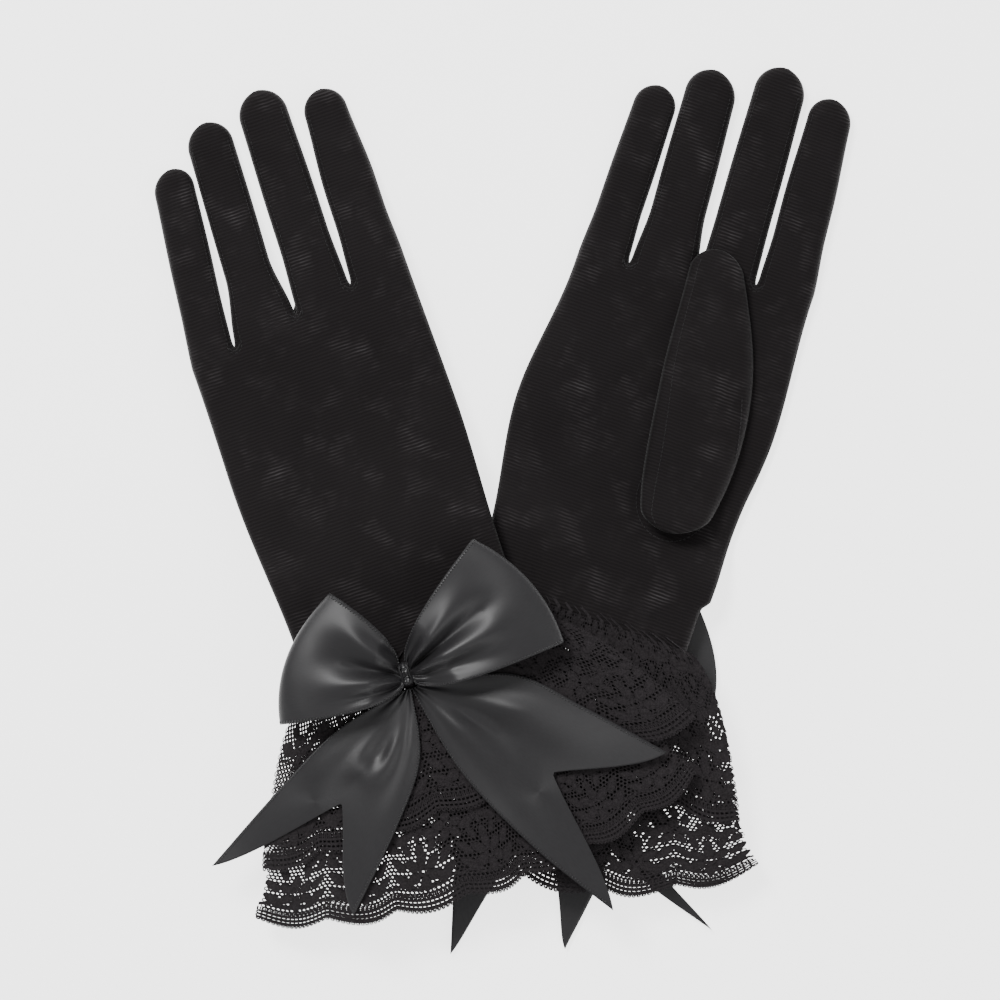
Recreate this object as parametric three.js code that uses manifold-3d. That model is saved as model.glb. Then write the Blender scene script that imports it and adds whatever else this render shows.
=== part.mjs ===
// A pair of short sheer-mesh dress gloves with lace cuffs and satin bows, laid flat with their cuffs crossed.
// Millimetres, +Z up, +Y toward the fingers, floor at z = 0, origin under the middle of the pair.
// The right glove lies palm up underneath; the left one lies back up with its cuff over the right cuff.
import * as THREE from "three";
import { mergeVertices } from "three/addons/utils/BufferGeometryUtils.js";
import Module from "manifold-3d";

const wasm = await Module();
wasm.setup();

// ---- Driving sizes ----------------------------------------------------------------------------
const HAND_WIDTH = 81; // across the four finger roots, laid flat
const WRIST_WIDTH = 77; // across the wrist, laid flat
const HAND_LENGTH = 105; // wrist line to the crotch between ring and middle finger
const KNUCKLE_SLOPE = 0.157; // rise of the line through the crotches, per mm toward the index side
const CUFF_SEAM = -26; // where the mesh ends and the lace is sewn on, below the wrist line
const FINGER_HINGE = 14; // the fingers fold this far above the crotches

const FABRIC = 0.6; // thickness of one mesh panel
const LACE = 0.5; // thickness of one lace layer
const RIBBON = 0.5; // thickness of the satin ribbon
const HOLLOW = 5; // height of the space inside a glove lying flat
const SEAM_GAP = 0.35; // clearance between two pieces that are sewn or lie together
const LAYER_GAP = 0.7; // clearance between soft layers that drape over each other
const SIDE_GAP = 0.4; // clearance between neighbouring fingers at their hinge line

const EDGE_ROUND = 0.22; // a closed edge rounds off over this share of the width
const WRIST_RUN = 60; // the wrist widens to the hand over this length
const PALM_LEVEL = { little: 45, thumb: 60, run: 50 }; // where the palm's two sides swell, and how far along
const HEM_FLARE = { from: -3, rise: 4, top: 6, end: 40 }; // the wrist's thumb side flares out between these
const LACE_FLARE = 0.6; // the lace spreads out soon below its seam
const NECK_SHARE = 0.3; // a finger narrows from its root to its width over this share of its length
const TAPER = { from: 0.45, share: 0.5 }; // and tapers to its tip from here, over this share
const TIP_HALF = 1.2; // half width of the blunt end of a fingertip
const TIP_CLOSES = 0.85; // a finger's hollow closes from this share of its length on
const TIP_STEPS = 1.7; // closer steps round the tip
const STRIP_SHARE = 0.8; // the side strips end at this share of the finger
const CUT_BEYOND = 4; // the cuts between the finger stubs run on past the hinge line
const CUT_DEPTH = 60;

const THUMB_LENGTH = 98;
const THUMB_WIDTH = 32;
const THUMB_HOLLOW = 4.8; // height of the space inside the flattened thumb
const THUMB_LEAN = 9.3; // degrees that the thumb points toward the little finger, from the glove's axis
const THUMB_BULGE = 4; // how far its middle bulges toward the thumb side
const THUMB_ENDS = { blunt: 0.06, full: 0.8, taperFrom: 0.55, taperTo: 0.8 }; // how it swells and tapers
const THUMB_FOOT = { across: 20, along: 18.5 }; // the low end of the thumb, from the wrist centre
const THUMB_SWEEP = 12; // the thumb keeps clear of slopes in the palm this far around its foot

const HEADER_TOP = -17; // top edge of the narrow frill above the lace seam
const UPPER_TIER_END = 70; // the upper lace tier ends this far below the wrist line
const SCALLOP_DEPTH = 3; // depth of the waves along the lace edge
const SCALLOPS = 7; // waves along one side of a tier

const ELASTIC_WIDTH = 6; // width of the elastic inside the cuff seam
const ELASTIC_THICK = 0.5;
const ELASTIC_INSET = 4; // the elastic ends this far inside the wrist's two sides
const ELASTIC_RISE = 1.5; // and lies this far above the cuff seam

const RIBBON_WIDTH = 46; // width of the bow's satin ribbon
const KNOT = { across: 7, along: 10 };
const KNOT_CENTRE = { across: -6, along: -22.5 }; // from the wrist centre
const BEAD_RADIUS = 1.3;
const UPPER_BOW = { loopRise: 4.4, knotHigh: 6, tailLayers: 1 }; // half the loops' height, the knot's height
const PRESSED_BOW = { loopRise: 0.8, knotHigh: 2.8, tailLayers: 2 }; // the same for the bow under its glove
const LAYER_SPLIT = 0.7; // a loop's two layers lie this far above and below its middle at the knot
const NOTCH = 0.36; // depth of the swallow-tail cut, as a share of the tail's length
const LOOP_SPREAD = 0.8; // how soon a loop spreads out from the knot
const LOOP_LIFT_RATE = 4; // a loop reaches its full height at a quarter of its reach

// How the two gloves lie: wrist centre on the floor plan and lean of the glove's axis in degrees
const LEFT_PLACE = { x: -33.8, y: -30.9, lean: 19.5 };
const RIGHT_PLACE = { x: 32.5, y: -18, lean: -19 };
const PALM_LIFT = 7.2; // height of the left palm above the floor, over its own tucked thumb
const CUFF_SAG = 0.5; // share of its height that the left cuff's free corner drops
const FLOOR_GAP = 0.3; // clearance of the lower bow's beads above the floor

// Fingers from the little finger to the index finger. root is the share of the hand width.
// length runs from the middle of the root to the tip, lean is in degrees from the glove's axis toward the
// thumb side, wide and tip are the widths at mid length and near the tip.
const LEFT_FINGERS = [
  { name: "little", root: 0.2, length: 66, lean: 6.4, wide: 15.5, tip: 14.5 },
  { name: "ring", root: 0.29, length: 74, lean: 2.8, wide: 17.4, tip: 16.8 },
  { name: "middle", root: 0.256, length: 75, lean: 1.4, wide: 19, tip: 17.8 },
  { name: "index", root: 0.254, length: 65, lean: 1.2, wide: 18.8, tip: 15.2 },
];
const RIGHT_FINGERS = [
  { name: "little", root: 0.218, length: 62, lean: -0.2, wide: 16, tip: 15 },
  { name: "ring", root: 0.286, length: 70, lean: -3.8, wide: 19.5, tip: 18.5 },
  { name: "middle", root: 0.25, length: 75, lean: -3.2, wide: 19.5, tip: 18.5 },
  { name: "index", root: 0.246, length: 67, lean: -4.6, wide: 18, tip: 15.5 },
];

// ---- Small helpers ----------------------------------------------------------------------------
const HALF_HIGH = HOLLOW / 2 + FABRIC; // from the middle of the glove to its outer face
const TIER_HEIGHT = HALF_HIGH + LAYER_GAP + LACE / 2; // from the middle of the glove to the upper lace
const CUFF_HALF = TIER_HEIGHT + LACE / 2; // from the middle of the glove to the outside of its lace
const BOW_FLOOR = CUFF_HALF + LAYER_GAP; // from the middle of the glove to the near side of its bow
const TAIL_START = KNOT_CENTRE.along - KNOT.along / 2 - SEAM_GAP; // upper end of the ribbon tails
const TAIL_DROOP_RUN = 85; // the lower bow's tails come down to the floor over this length
const BEAD_GAP = 0.15; // clearance between the beads and the knot
const BOW_LIFT = BOW_FLOOR - HALF_HIGH + PRESSED_BOW.knotHigh + 2 * BEAD_RADIUS + BEAD_GAP + FLOOR_GAP;
const CROSSING_LIFT = BOW_LIFT + 2 * CUFF_HALF + LAYER_GAP - PALM_LIFT; // left cuff over the right one
const rad = THREE.MathUtils.degToRad;
const lerp = THREE.MathUtils.lerp;
const smooth = (x) => THREE.MathUtils.smoothstep(x, 0, 1);
const fall = (x, from, to) => 1 - smooth((x - from) / (to - from));
const root = (x) => Math.sqrt(Math.max(x, 0));

/** Turns a geometry with duplicated corners into one closed body with shared corners. */
function weld(geometry) {
  geometry.deleteAttribute("normal");
  geometry.deleteAttribute("uv");
  const welded = mergeVertices(geometry, 1e-5);
  welded.computeVertexNormals();
  return welded;
}

/** Six times the volume that a closed geometry holds, negative where its faces point inwards. */
function signedVolume(geometry) {
  const { position } = geometry.attributes;
  const corners = [0, 1, 2].map(() => new THREE.Vector3());
  let total = 0;
  for (let i = 0; i < geometry.index.count; i += 3) {
    corners.forEach((corner, k) => corner.fromBufferAttribute(position, geometry.index.getX(i + k)));
    total += corners[0].dot(corners[1].clone().cross(corners[2]));
  }
  return total;
}

/** Welds a mapped geometry and turns its faces outwards. */
function closedBody(geometry) {
  const body = weld(geometry);
  if (signedVolume(body) < 0) {
    body.index.array.reverse();
    body.computeVertexNormals();
  }
  return body;
}

/** A thin sheet: place(s, t) is its middle surface, rise(s, t) the direction of its thickness. */
function sheet(across, along, thickness, place, rise = () => new THREE.Vector3(0, 0, 1)) {
  const box = new THREE.BoxGeometry(1, 1, 1, across, along, 1);
  const corner = box.attributes.position;
  for (let i = 0; i < corner.count; i += 1) {
    const s = corner.getX(i) + 0.5;
    const t = corner.getY(i) + 0.5;
    const point = place(s, t).addScaledVector(rise(s, t), corner.getZ(i) * thickness);
    corner.setXYZ(i, point.x, point.y, point.z);
  }
  return closedBody(box);
}

/** A flat band closed on itself: place(turn, level, side), with level 0..1 and side -1 inside, +1 outside. */
function band(around, place) {
  const ring = new THREE.TorusGeometry(2, 1, 4, around);
  const corner = ring.attributes.position;
  const uv = ring.attributes.uv;
  const levels = [0, 1, 1, 0, 0];
  const sides = [-1, -1, 1, 1, -1];
  for (let i = 0; i < corner.count; i += 1) {
    const turn = (Math.round(uv.getX(i) * around) % around) / around;
    const edge = Math.round(uv.getY(i) * 4);
    const point = place(turn, levels[edge], sides[edge]);
    corner.setXYZ(i, point.x, point.y, point.z);
  }
  return closedBody(ring);
}

/** The unit normal of a middle surface, by small steps along it. */
function normalOf(place) {
  const step = 1e-3;
  return (s, t) => {
    const alongS = place(Math.min(s + step, 1), t).sub(place(Math.max(s - step, 0), t));
    const alongT = place(s, Math.min(t + step, 1)).sub(place(s, Math.max(t - step, 0)));
    return alongS.cross(alongT).normalize();
  };
}

function toSolid(geometry) {
  const mesh = new wasm.Mesh({
    numProp: 3,
    vertProperties: new Float32Array(geometry.attributes.position.array),
    triVerts: new Uint32Array(geometry.index.array),
  });
  return new wasm.Manifold(mesh);
}

function toGeometry(solid) {
  const mesh = solid.getMesh();
  const geometry = new THREE.BufferGeometry();
  geometry.setAttribute("position", new THREE.BufferAttribute(new Float32Array(mesh.vertProperties), 3));
  geometry.setIndex(new THREE.BufferAttribute(new Uint32Array(mesh.triVerts), 1));
  geometry.computeVertexNormals();
  return geometry;
}

// ---- Materials --------------------------------------------------------------------------------
const finish = (name, color, roughness) =>
  new THREE.MeshStandardMaterial({ name, color, roughness, metalness: 0 });
const meshKnit = finish("mesh_knit", 0x231f20, 0.85);
const laceCloth = finish("lace", 0x2b2729, 0.9);
const satin = finish("satin_ribbon", 0x403e40, 0.45);
const elasticCloth = finish("elastic", 0x1d1a1b, 0.8);
const jet = finish("jet_glass", 0x0a0a0c, 0.1);

// ---- One glove --------------------------------------------------------------------------------
const crotchLine = (u) => HAND_LENGTH + KNUCKLE_SLOPE * u; // along, at a place across
const hingeLine = (u) => crotchLine(u) + FINGER_HINGE;

/** Flattened tube profile: 1 over most of the width, rounding off to 0 at a closed edge. */
function puff(s, closedLeft, closedRight) {
  const left = closedLeft ? Math.min(s / EDGE_ROUND, 1) : 1;
  const right = closedRight ? Math.min((1 - s) / EDGE_ROUND, 1) : 1;
  return root(1 - (1 - left) ** 2) * root(1 - (1 - right) ** 2);
}

/** Half height of the hollow where a panel edge meets the other panel's edge. */
const closedHalf = SEAM_GAP / 2;
const panelHeight = (share) => lerp(closedHalf, HOLLOW / 2, share) + FABRIC / 2;

function buildGlove(side) {
  const group = new THREE.Group();
  group.position.set(side.place.x, side.place.y, 0);
  group.rotation.z = rad(side.place.lean);
  const up = side.backUp ? 1 : -1; // the back of the hand is the upper face, or the lower one
  const { middle } = side;
  const point = (u, v, z) => new THREE.Vector3(u, v, middle(u, v) + z);

  function add(name, geometry, material) {
    const mesh = new THREE.Mesh(geometry, material);
    mesh.name = `${side.name}_${name}`;
    group.add(mesh);
  }

  // Finger roots along the crotch line, from the little finger's outer side
  let edge = -HAND_WIDTH / 2;
  const fingers = side.fingers.map((finger) => {
    const from = edge;
    edge += finger.root * HAND_WIDTH;
    const rootU = (from + edge) / 2;
    return { ...finger, from, to: edge, rootU, slant: Math.tan(rad(finger.lean)) };
  });

  /** Middle line and half width of a finger at a distance along it from its root. */
  function fingerPlace(finger, s, distance) {
    const reach = distance / finger.length;
    const rootHalf = (finger.to - finger.from) / 2;
    const narrow = lerp(rootHalf, finger.wide / 2, smooth(reach / NECK_SHARE));
    const body = lerp(narrow, finger.tip / 2, smooth((reach - TAPER.from) / TAPER.share));
    const tipShare = Math.max(distance - (finger.length - finger.tip / 2), 0) / (finger.tip / 2);
    const half = Math.max(body * root(1 - tipShare ** 2), TIP_HALF);
    const fade = 1 - smooth((distance - FINGER_HINGE - SEAM_GAP) / (finger.length - 2 * FINGER_HINGE));
    const shift = finger.slant * distance + (2 * s - 1) * half;
    const u = finger.rootU + shift;
    const v = crotchLine(finger.rootU + shift * fade) + distance;
    return { u, v };
  }

  // The hand with the stubs of the fingers up to the hinge line
  const bareHalf = (v) => lerp(WRIST_WIDTH, HAND_WIDTH, smooth(v / WRIST_RUN)) / 2;
  const { palmSwell, hemFlare } = side;
  const swellAt = (v, level) => fall(Math.abs(v - level), 0, PALM_LEVEL.run);
  const flareIn = (v) => smooth((v - HEM_FLARE.from) / HEM_FLARE.rise);
  const flareAt = (v) => flareIn(v) * fall(v, HEM_FLARE.top, HEM_FLARE.end);
  const leftEdge = (v) => -bareHalf(v) - palmSwell.little * swellAt(v, PALM_LEVEL.little);
  const thumbSwell = (v) => palmSwell.thumb * swellAt(v, PALM_LEVEL.thumb) + hemFlare * flareAt(v);
  const rightEdge = (v) => bareHalf(v) + thumbSwell(v);

  function handPlace(s, t, sign) {
    const lean = KNUCKLE_SLOPE * smooth(t);
    const v0 = lerp(CUFF_SEAM, HAND_LENGTH + FINGER_HINGE - SEAM_GAP, t);
    const u = lerp(leftEdge(v0), rightEdge(v0), s);
    const v = v0 + u * lean;
    return point(u, v, sign * panelHeight(puff(s, true, true)));
  }

  function crotchCut(left, right) {
    const tipU = left.to;
    const far = FINGER_HINGE + CUT_BEYOND;
    const outline = new THREE.Shape();
    const low = crotchLine(tipU);
    const leftFar = fingerPlace(left, 1, far);
    const rightFar = fingerPlace(right, 0, far);
    outline.moveTo(tipU - SIDE_GAP / 2, low);
    outline.lineTo(tipU + SIDE_GAP / 2, low);
    outline.lineTo(Math.max(rightFar.u, tipU + SIDE_GAP), rightFar.v);
    outline.lineTo(Math.min(leftFar.u, tipU - SIDE_GAP), leftFar.v);
    outline.closePath();
    const prism = new THREE.ExtrudeGeometry(outline, { depth: CUT_DEPTH, bevelEnabled: false });
    prism.translate(0, 0, -CUT_DEPTH / 3);
    return toSolid(weld(prism));
  }

  function handPanel(name, sign) {
    let solid = toSolid(sheet(10, 10, FABRIC, (s, t) => handPlace(s, t, sign)));
    for (let i = 0; i + 1 < fingers.length; i += 1) {
      solid = solid.subtract(crotchCut(fingers[i], fingers[i + 1]));
    }
    add(name, toGeometry(solid), meshKnit);
  }

  handPanel("hand_back", up);
  handPanel("hand_palm", -up);

  // Fingers beyond the hinge line: back and palm panels with side strips between neighbours
  fingers.forEach((finger, index) => {
    const hasLeft = index > 0;
    const hasRight = index < fingers.length - 1;
    const startAt = FINGER_HINGE + SEAM_GAP;
    const place = (s, step, sign) => {
      const t = 1 - (1 - step) ** TIP_STEPS;
      const { u, v } = fingerPlace(finger, s, lerp(startAt, finger.length, t));
      const closing = root(1 - (Math.max(t - TIP_CLOSES, 0) / (1 - TIP_CLOSES)) ** 2);
      return point(u, v, sign * panelHeight(puff(s, !hasLeft, !hasRight) * closing));
    };
    for (const [face, sign] of [["back", up], ["palm", -up]]) {
      add(`${finger.name}_${face}`, sheet(4, 7, FABRIC, (s, t) => place(s, t, sign)), meshKnit);
    }
    const strip = (name, s) => {
      const inner = HOLLOW - 2 * SEAM_GAP;
      const inset = s === 0 ? FABRIC / 2 : -FABRIC / 2;
      const middleLine = (a, t) => {
        const { u, v } = fingerPlace(finger, s, lerp(startAt, finger.length, t * STRIP_SHARE));
        return point(u + inset, v, (a - 0.5) * inner);
      };
      const sideways = () => new THREE.Vector3(-1, 0, 0);
      add(`${finger.name}_${name}`, sheet(1, 6, FABRIC, middleLine, sideways), meshKnit);
    };
    if (hasLeft) {
      strip("fourchette_outer", 0);
    }
    if (hasRight) {
      strip("fourchette_inner", 1);
    }
  });

  // The thumb lies along the palm, a flattened tube of two panels
  const thumbFace = HALF_HIGH + SEAM_GAP; // from the middle of the hand to the thumb's near face
  const thumbDirection = new THREE.Vector2(-Math.sin(rad(THUMB_LEAN)), Math.cos(rad(THUMB_LEAN)));
  const thumbPoint = (u, v, z) => new THREE.Vector3(u, v, middle(u, v + up * THUMB_SWEEP) + z);
  function thumbPlace(s, t, layer) {
    const distance = t * THUMB_LENGTH;
    const { blunt, full, taperFrom, taperTo } = THUMB_ENDS;
    const swell = 0.5 * THUMB_WIDTH * Math.sqrt(Math.sin(Math.PI * lerp(blunt, 1 - blunt, t ** full)));
    const half = swell * lerp(1, taperTo, smooth((t - taperFrom) / (1 - taperFrom)));
    const bulge = THUMB_BULGE * Math.sin(Math.PI * t);
    const u = THUMB_FOOT.across + thumbDirection.x * distance + (2 * s - 1) * half * thumbDirection.y + bulge;
    const v = THUMB_FOOT.along + thumbDirection.y * distance - (2 * s - 1) * half * thumbDirection.x;
    const round = puff(s, true, true) * Math.sqrt(Math.sin(Math.PI * lerp(0.02, 0.98, t)));
    const open = lerp(SEAM_GAP, THUMB_HOLLOW, round);
    const height = layer === 0 ? FABRIC / 2 : FABRIC * 1.5 + open;
    return thumbPoint(u, v, -up * (thumbFace + height));
  }
  add("thumb_inner", sheet(5, 9, FABRIC, (s, t) => thumbPlace(s, t, 0)), meshKnit);
  add("thumb_outer", sheet(5, 9, FABRIC, (s, t) => thumbPlace(s, t, 1)), meshKnit);

  // Elastic inside the cuff seam
  const elasticOut = HOLLOW / 2 - SEAM_GAP;
  const elasticHalf = WRIST_WIDTH / 2 - ELASTIC_INSET;
  add("elastic", band(28, (turn, level, ring) => {
    const angle = turn * 2 * Math.PI;
    const along = CUFF_SEAM + ELASTIC_RISE + level * ELASTIC_WIDTH;
    const grow = ring > 0 ? 0 : -ELASTIC_THICK;
    const wide = elasticHalf + grow;
    const high = elasticOut + grow;
    const u = wide * Math.sign(Math.cos(angle)) * Math.abs(Math.cos(angle)) ** 0.5;
    const z = high * Math.sign(Math.sin(angle)) * Math.abs(Math.sin(angle)) ** 0.5;
    return point(u, along, z);
  }), elasticCloth);

  // Lace tiers, each a front and a back length joined at the sides of the cuff
  function laceSheet(name, spec) {
    const fan = (s, t) => {
      const wave = SCALLOP_DEPTH * t * Math.abs(Math.sin(Math.PI * SCALLOPS * s));
      const distance = lerp(-spec.start, spec.end + wave, t);
      const flare = s < 0.5 ? spec.halfLeft : spec.halfRight;
      const u = (2 * s - 1) * lerp(WRIST_WIDTH / 2 - 1, flare, t ** LACE_FLARE);
      const v = -Math.sqrt(distance ** 2 - (spec.curve * u * t) ** 2);
      const closing = spec.pinch * (1 - puff(s, true, true));
      return point(u, v, spec.sign * (spec.height - closing));
    };
    add(name, sheet(14, 5, LACE, fan), laceCloth);
  }
  for (const [face, sign] of [["back", up], ["palm", -up]]) {
    laceSheet(`upper_lace_${face}`, {
      ...side.upperLace, start: HEADER_TOP, end: UPPER_TIER_END, sign, height: TIER_HEIGHT, pinch: 0,
    });
    laceSheet(`lower_lace_${face}`, {
      ...side.lowerLace, start: CUFF_SEAM - SEAM_GAP, sign, height: (HOLLOW + FABRIC) / 2,
      pinch: HOLLOW / 2 - closedHalf,
    });
  }

  // The bow on the back of the cuff, at one level of the glove
  const knotU = KNOT_CENTRE.across;
  const knotV = KNOT_CENTRE.along;
  const bowPoint = (u, v, z) => {
    const level = side.backUp ? middle(u, v) : middle(knotU, knotV);
    return new THREE.Vector3(u, v, level + up * z);
  };
  const ribbonStep = RIBBON + SEAM_GAP;
  const loopFloor = BOW_FLOOR + side.bow.tailLayers * ribbonStep;
  const loopMiddle = loopFloor + RIBBON / 2 + LAYER_SPLIT + side.bow.loopRise;

  function loop({ name, direction, reach, round, skew }) {
    const turnTo = new THREE.Vector2(Math.cos(rad(direction)), Math.sin(rad(direction)));
    const sideward = Math.sign(turnTo.x);
    const place = (s, t) => {
      const angle = 2 * Math.PI * t;
      const out = Math.max((1 - Math.cos(angle)) / 2, 0);
      const across = 2 * s - 1;
      const far = reach - round * across ** 2 - skew * across;
      const outerHalf = (RIBBON_WIDTH / 2) * across;
      const innerHalf = (KNOT.along / 2 - 1) * across;
      const spreading = (outerHalf - innerHalf) * (out ** LOOP_SPREAD - out);
      const innerU = knotU + sideward * (KNOT.across / 2 + SEAM_GAP);
      const innerV = knotV + sideward * innerHalf;
      const outerU = knotU + turnTo.x * far - turnTo.y * outerHalf;
      const outerV = knotV + turnTo.y * far + turnTo.x * outerHalf;
      const u = lerp(innerU, outerU, out) - turnTo.y * spreading;
      const v = lerp(innerV, outerV, out) + turnTo.x * spreading;
      const bulge = side.bow.loopRise * Math.sin(angle) * Math.min(out * LOOP_LIFT_RATE, 1);
      const level = lerp(BOW_FLOOR + side.bow.knotHigh / 2, loopMiddle, smooth(out * LOOP_LIFT_RATE));
      return bowPoint(u, v, level - LAYER_SPLIT * Math.cos(angle / 2) - bulge);
    };
    add(name, sheet(5, 12, RIBBON, place, normalOf(place)), satin);
  }
  side.loops.forEach(loop);

  function tail({ name, leftSide, rightSide, layer, droop }) {
    const toCurve = (list) => new THREE.SplineCurve(list.map(([u, v]) => new THREE.Vector2(u, v)));
    const leftCurve = toCurve(leftSide);
    const rightCurve = toCurve(rightSide);
    const height = BOW_FLOOR + RIBBON / 2 + layer * ribbonStep;
    const place = (s, t) => {
      const cut = t * (1 - NOTCH * t * (1 - Math.abs(2 * s - 1)));
      const a = leftCurve.getPoint(cut);
      const b = rightCurve.getPoint(cut);
      const v = lerp(a.y, b.y, s);
      return bowPoint(lerp(a.x, b.x, s), v, height + droop * smooth((TAIL_START - v) / TAIL_DROOP_RUN));
    };
    add(name, sheet(6, 10, RIBBON, place), satin);
  }
  side.tails.forEach(tail);

  const { knotHigh } = side.bow;
  const knot = new THREE.BoxGeometry(2, 2, 2, 3, 4, 3);
  const corner = knot.attributes.position;
  for (let i = 0; i < corner.count; i += 1) {
    const [x, y, z] = [corner.getX(i), corner.getY(i), corner.getZ(i)];
    const soften = (a, b) => Math.sqrt(1 - (a * a + b * b) / 5);
    const place = bowPoint(
      knotU + (x * soften(y, z) * KNOT.across) / 2,
      knotV + (y * soften(x, z) * KNOT.along) / 2,
      BOW_FLOOR + knotHigh / 2,
    );
    corner.setXYZ(i, place.x, place.y, place.z + (z * soften(x, y) * knotHigh) / 2);
  }
  add("bow_knot", weld(knot), satin);
  [-1, 1].forEach((place, index) => {
    const bead = new THREE.SphereGeometry(BEAD_RADIUS, 8, 6);
    const high = BOW_FLOOR + knotHigh + BEAD_RADIUS + BEAD_GAP;
    const centre = bowPoint(knotU, knotV + place * (BEAD_RADIUS + SEAM_GAP), high);
    bead.translate(centre.x, centre.y, centre.z);
    add(`bow_bead_${index + 1}`, weld(bead), jet);
  });
  return group;
}

// The left glove climbs over its own thumb and then over the right cuff, and its cuff sags at the free side
const leftMiddle = (u, v) => {
  const climb = PALM_LIFT * fall(v, 95, 165) + CROSSING_LIFT * fall(v, 10, 70);
  const sag = CUFF_SAG * smooth((-42 - u) / 42);
  return HALF_HIGH + climb * (1 - sag);
};
// The right glove lies on the floor and climbs over its own bow at the cuff
const rightMiddle = (u, v) => HALF_HIGH + BOW_LIFT * fall(v, 4, 24);

// Edges of the ribbon tails run from the knot to the two points of the swallow-tail cut
const pair = new THREE.Group();
pair.add(
  buildGlove({
    name: "left", backUp: true, place: LEFT_PLACE, fingers: LEFT_FINGERS,
    palmSwell: { little: 0.9, thumb: 0.3 }, hemFlare: 0,
    middle: leftMiddle, bow: UPPER_BOW,
    upperLace: { halfLeft: 74, halfRight: 81, curve: 0.1 },
    lowerLace: { halfLeft: 82, halfRight: 76, curve: 0.65, end: 97 },
    loops: [
      { name: "bow_loop_left", direction: 152, reach: 40, round: 6, skew: -5 },
      { name: "bow_loop_right", direction: 17, reach: 52, round: 5, skew: 2 },
    ],
    tails: [
      {
        name: "bow_tail_left", layer: 0, droop: 0,
        leftSide: [[-9.2, TAIL_START], [-36, -36.2], [-60, -46], [-89.9, -62.3]],
        rightSide: [[-6.2, TAIL_START], [-11, -51], [-26.5, -70.7], [-49.7, -93.5]],
      },
      {
        name: "bow_tail_right", layer: 0, droop: 0,
        leftSide: [[-5.8, TAIL_START], [0.5, -60], [15, -92], [33.2, -121.1]],
        rightSide: [[-2.8, TAIL_START], [27.4, -34.6], [46.5, -52.9], [68, -76.8]],
      },
    ],
  }),
  buildGlove({
    name: "right", backUp: false, place: RIGHT_PLACE, fingers: RIGHT_FINGERS,
    palmSwell: { little: 4.4, thumb: 3 }, hemFlare: 2.4,
    middle: rightMiddle, bow: PRESSED_BOW,
    upperLace: { halfLeft: 56, halfRight: 74, curve: 0.3 },
    lowerLace: { halfLeft: 60, halfRight: 85, curve: 0.87, end: 108 },
    loops: [
      { name: "bow_loop_left", direction: 178, reach: 34, round: 6, skew: 0 },
      { name: "bow_loop_right", direction: -5, reach: 59, round: 9, skew: 7 },
    ],
    tails: [
      {
        name: "bow_tail_left", layer: 1, droop: 3,
        leftSide: [[-9.2, TAIL_START], [-15, -60], [-14.5, -100], [-3.7, -141.9]],
        rightSide: [[-6.2, TAIL_START], [18, -50], [36, -85], [32.8, -127.5]],
      },
      {
        name: "bow_tail_right", layer: 0, droop: 3,
        leftSide: [[-5.8, TAIL_START], [8, -60], [36, -90], [78.2, -105]],
        rightSide: [[-2.8, TAIL_START], [12, -47], [34, -62], [58, -78]],
      },
    ],
  }),
);
export default pair;
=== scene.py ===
"""A pair of short dress gloves in sheer ribbed mesh, with lace cuffs in two tiers, satin bows and jet beads.

The left glove lies back up over the cuff of the right one, which lies palm up. Every piece is laid out in
its glove's own flat plan, in millimetres: u runs across to the thumb side, v from the wrist to the fingers.
"""
import math
from functools import partial

import bmesh
import bpy
import numpy as np
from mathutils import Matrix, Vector


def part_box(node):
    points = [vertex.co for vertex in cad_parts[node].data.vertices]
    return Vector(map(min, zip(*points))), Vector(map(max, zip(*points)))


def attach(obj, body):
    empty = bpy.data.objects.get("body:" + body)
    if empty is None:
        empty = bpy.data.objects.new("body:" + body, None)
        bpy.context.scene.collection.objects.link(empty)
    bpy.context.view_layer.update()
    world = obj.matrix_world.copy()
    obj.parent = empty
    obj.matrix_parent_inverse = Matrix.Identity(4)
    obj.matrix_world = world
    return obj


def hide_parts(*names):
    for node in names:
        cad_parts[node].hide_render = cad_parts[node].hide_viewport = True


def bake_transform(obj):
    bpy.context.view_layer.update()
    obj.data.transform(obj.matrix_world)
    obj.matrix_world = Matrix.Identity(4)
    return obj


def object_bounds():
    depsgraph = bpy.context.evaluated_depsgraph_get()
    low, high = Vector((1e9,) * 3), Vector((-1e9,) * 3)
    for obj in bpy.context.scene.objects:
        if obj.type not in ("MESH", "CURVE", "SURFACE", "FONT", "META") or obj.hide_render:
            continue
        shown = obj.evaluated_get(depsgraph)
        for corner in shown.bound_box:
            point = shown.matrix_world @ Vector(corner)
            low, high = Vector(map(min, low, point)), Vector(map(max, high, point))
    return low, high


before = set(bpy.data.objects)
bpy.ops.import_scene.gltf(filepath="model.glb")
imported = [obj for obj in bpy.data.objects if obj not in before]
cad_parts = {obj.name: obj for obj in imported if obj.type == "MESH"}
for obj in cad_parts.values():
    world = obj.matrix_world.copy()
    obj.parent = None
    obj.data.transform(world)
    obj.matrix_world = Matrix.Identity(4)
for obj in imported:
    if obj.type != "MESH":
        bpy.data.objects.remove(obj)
cad_box = [list(corner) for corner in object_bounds()]

MM = 0.001

# ---- Camera, floor and light --------------------------------------------------------------------
VIEW_WIDTH = 0.34  # metres across the picture at the gloves
GLOVE_LEVEL = 0.01  # the height above the floor where it is that wide
CAMERA_HEIGHT = 1.6
CAMERA_SHIFT = (-0.0009, 0.0037)  # from the middle of the pair



def linked(name, data):
    """An object of the scene, at the origin."""
    made = bpy.data.objects.new(name, data)
    bpy.context.scene.collection.objects.link(made)
    return made


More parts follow.
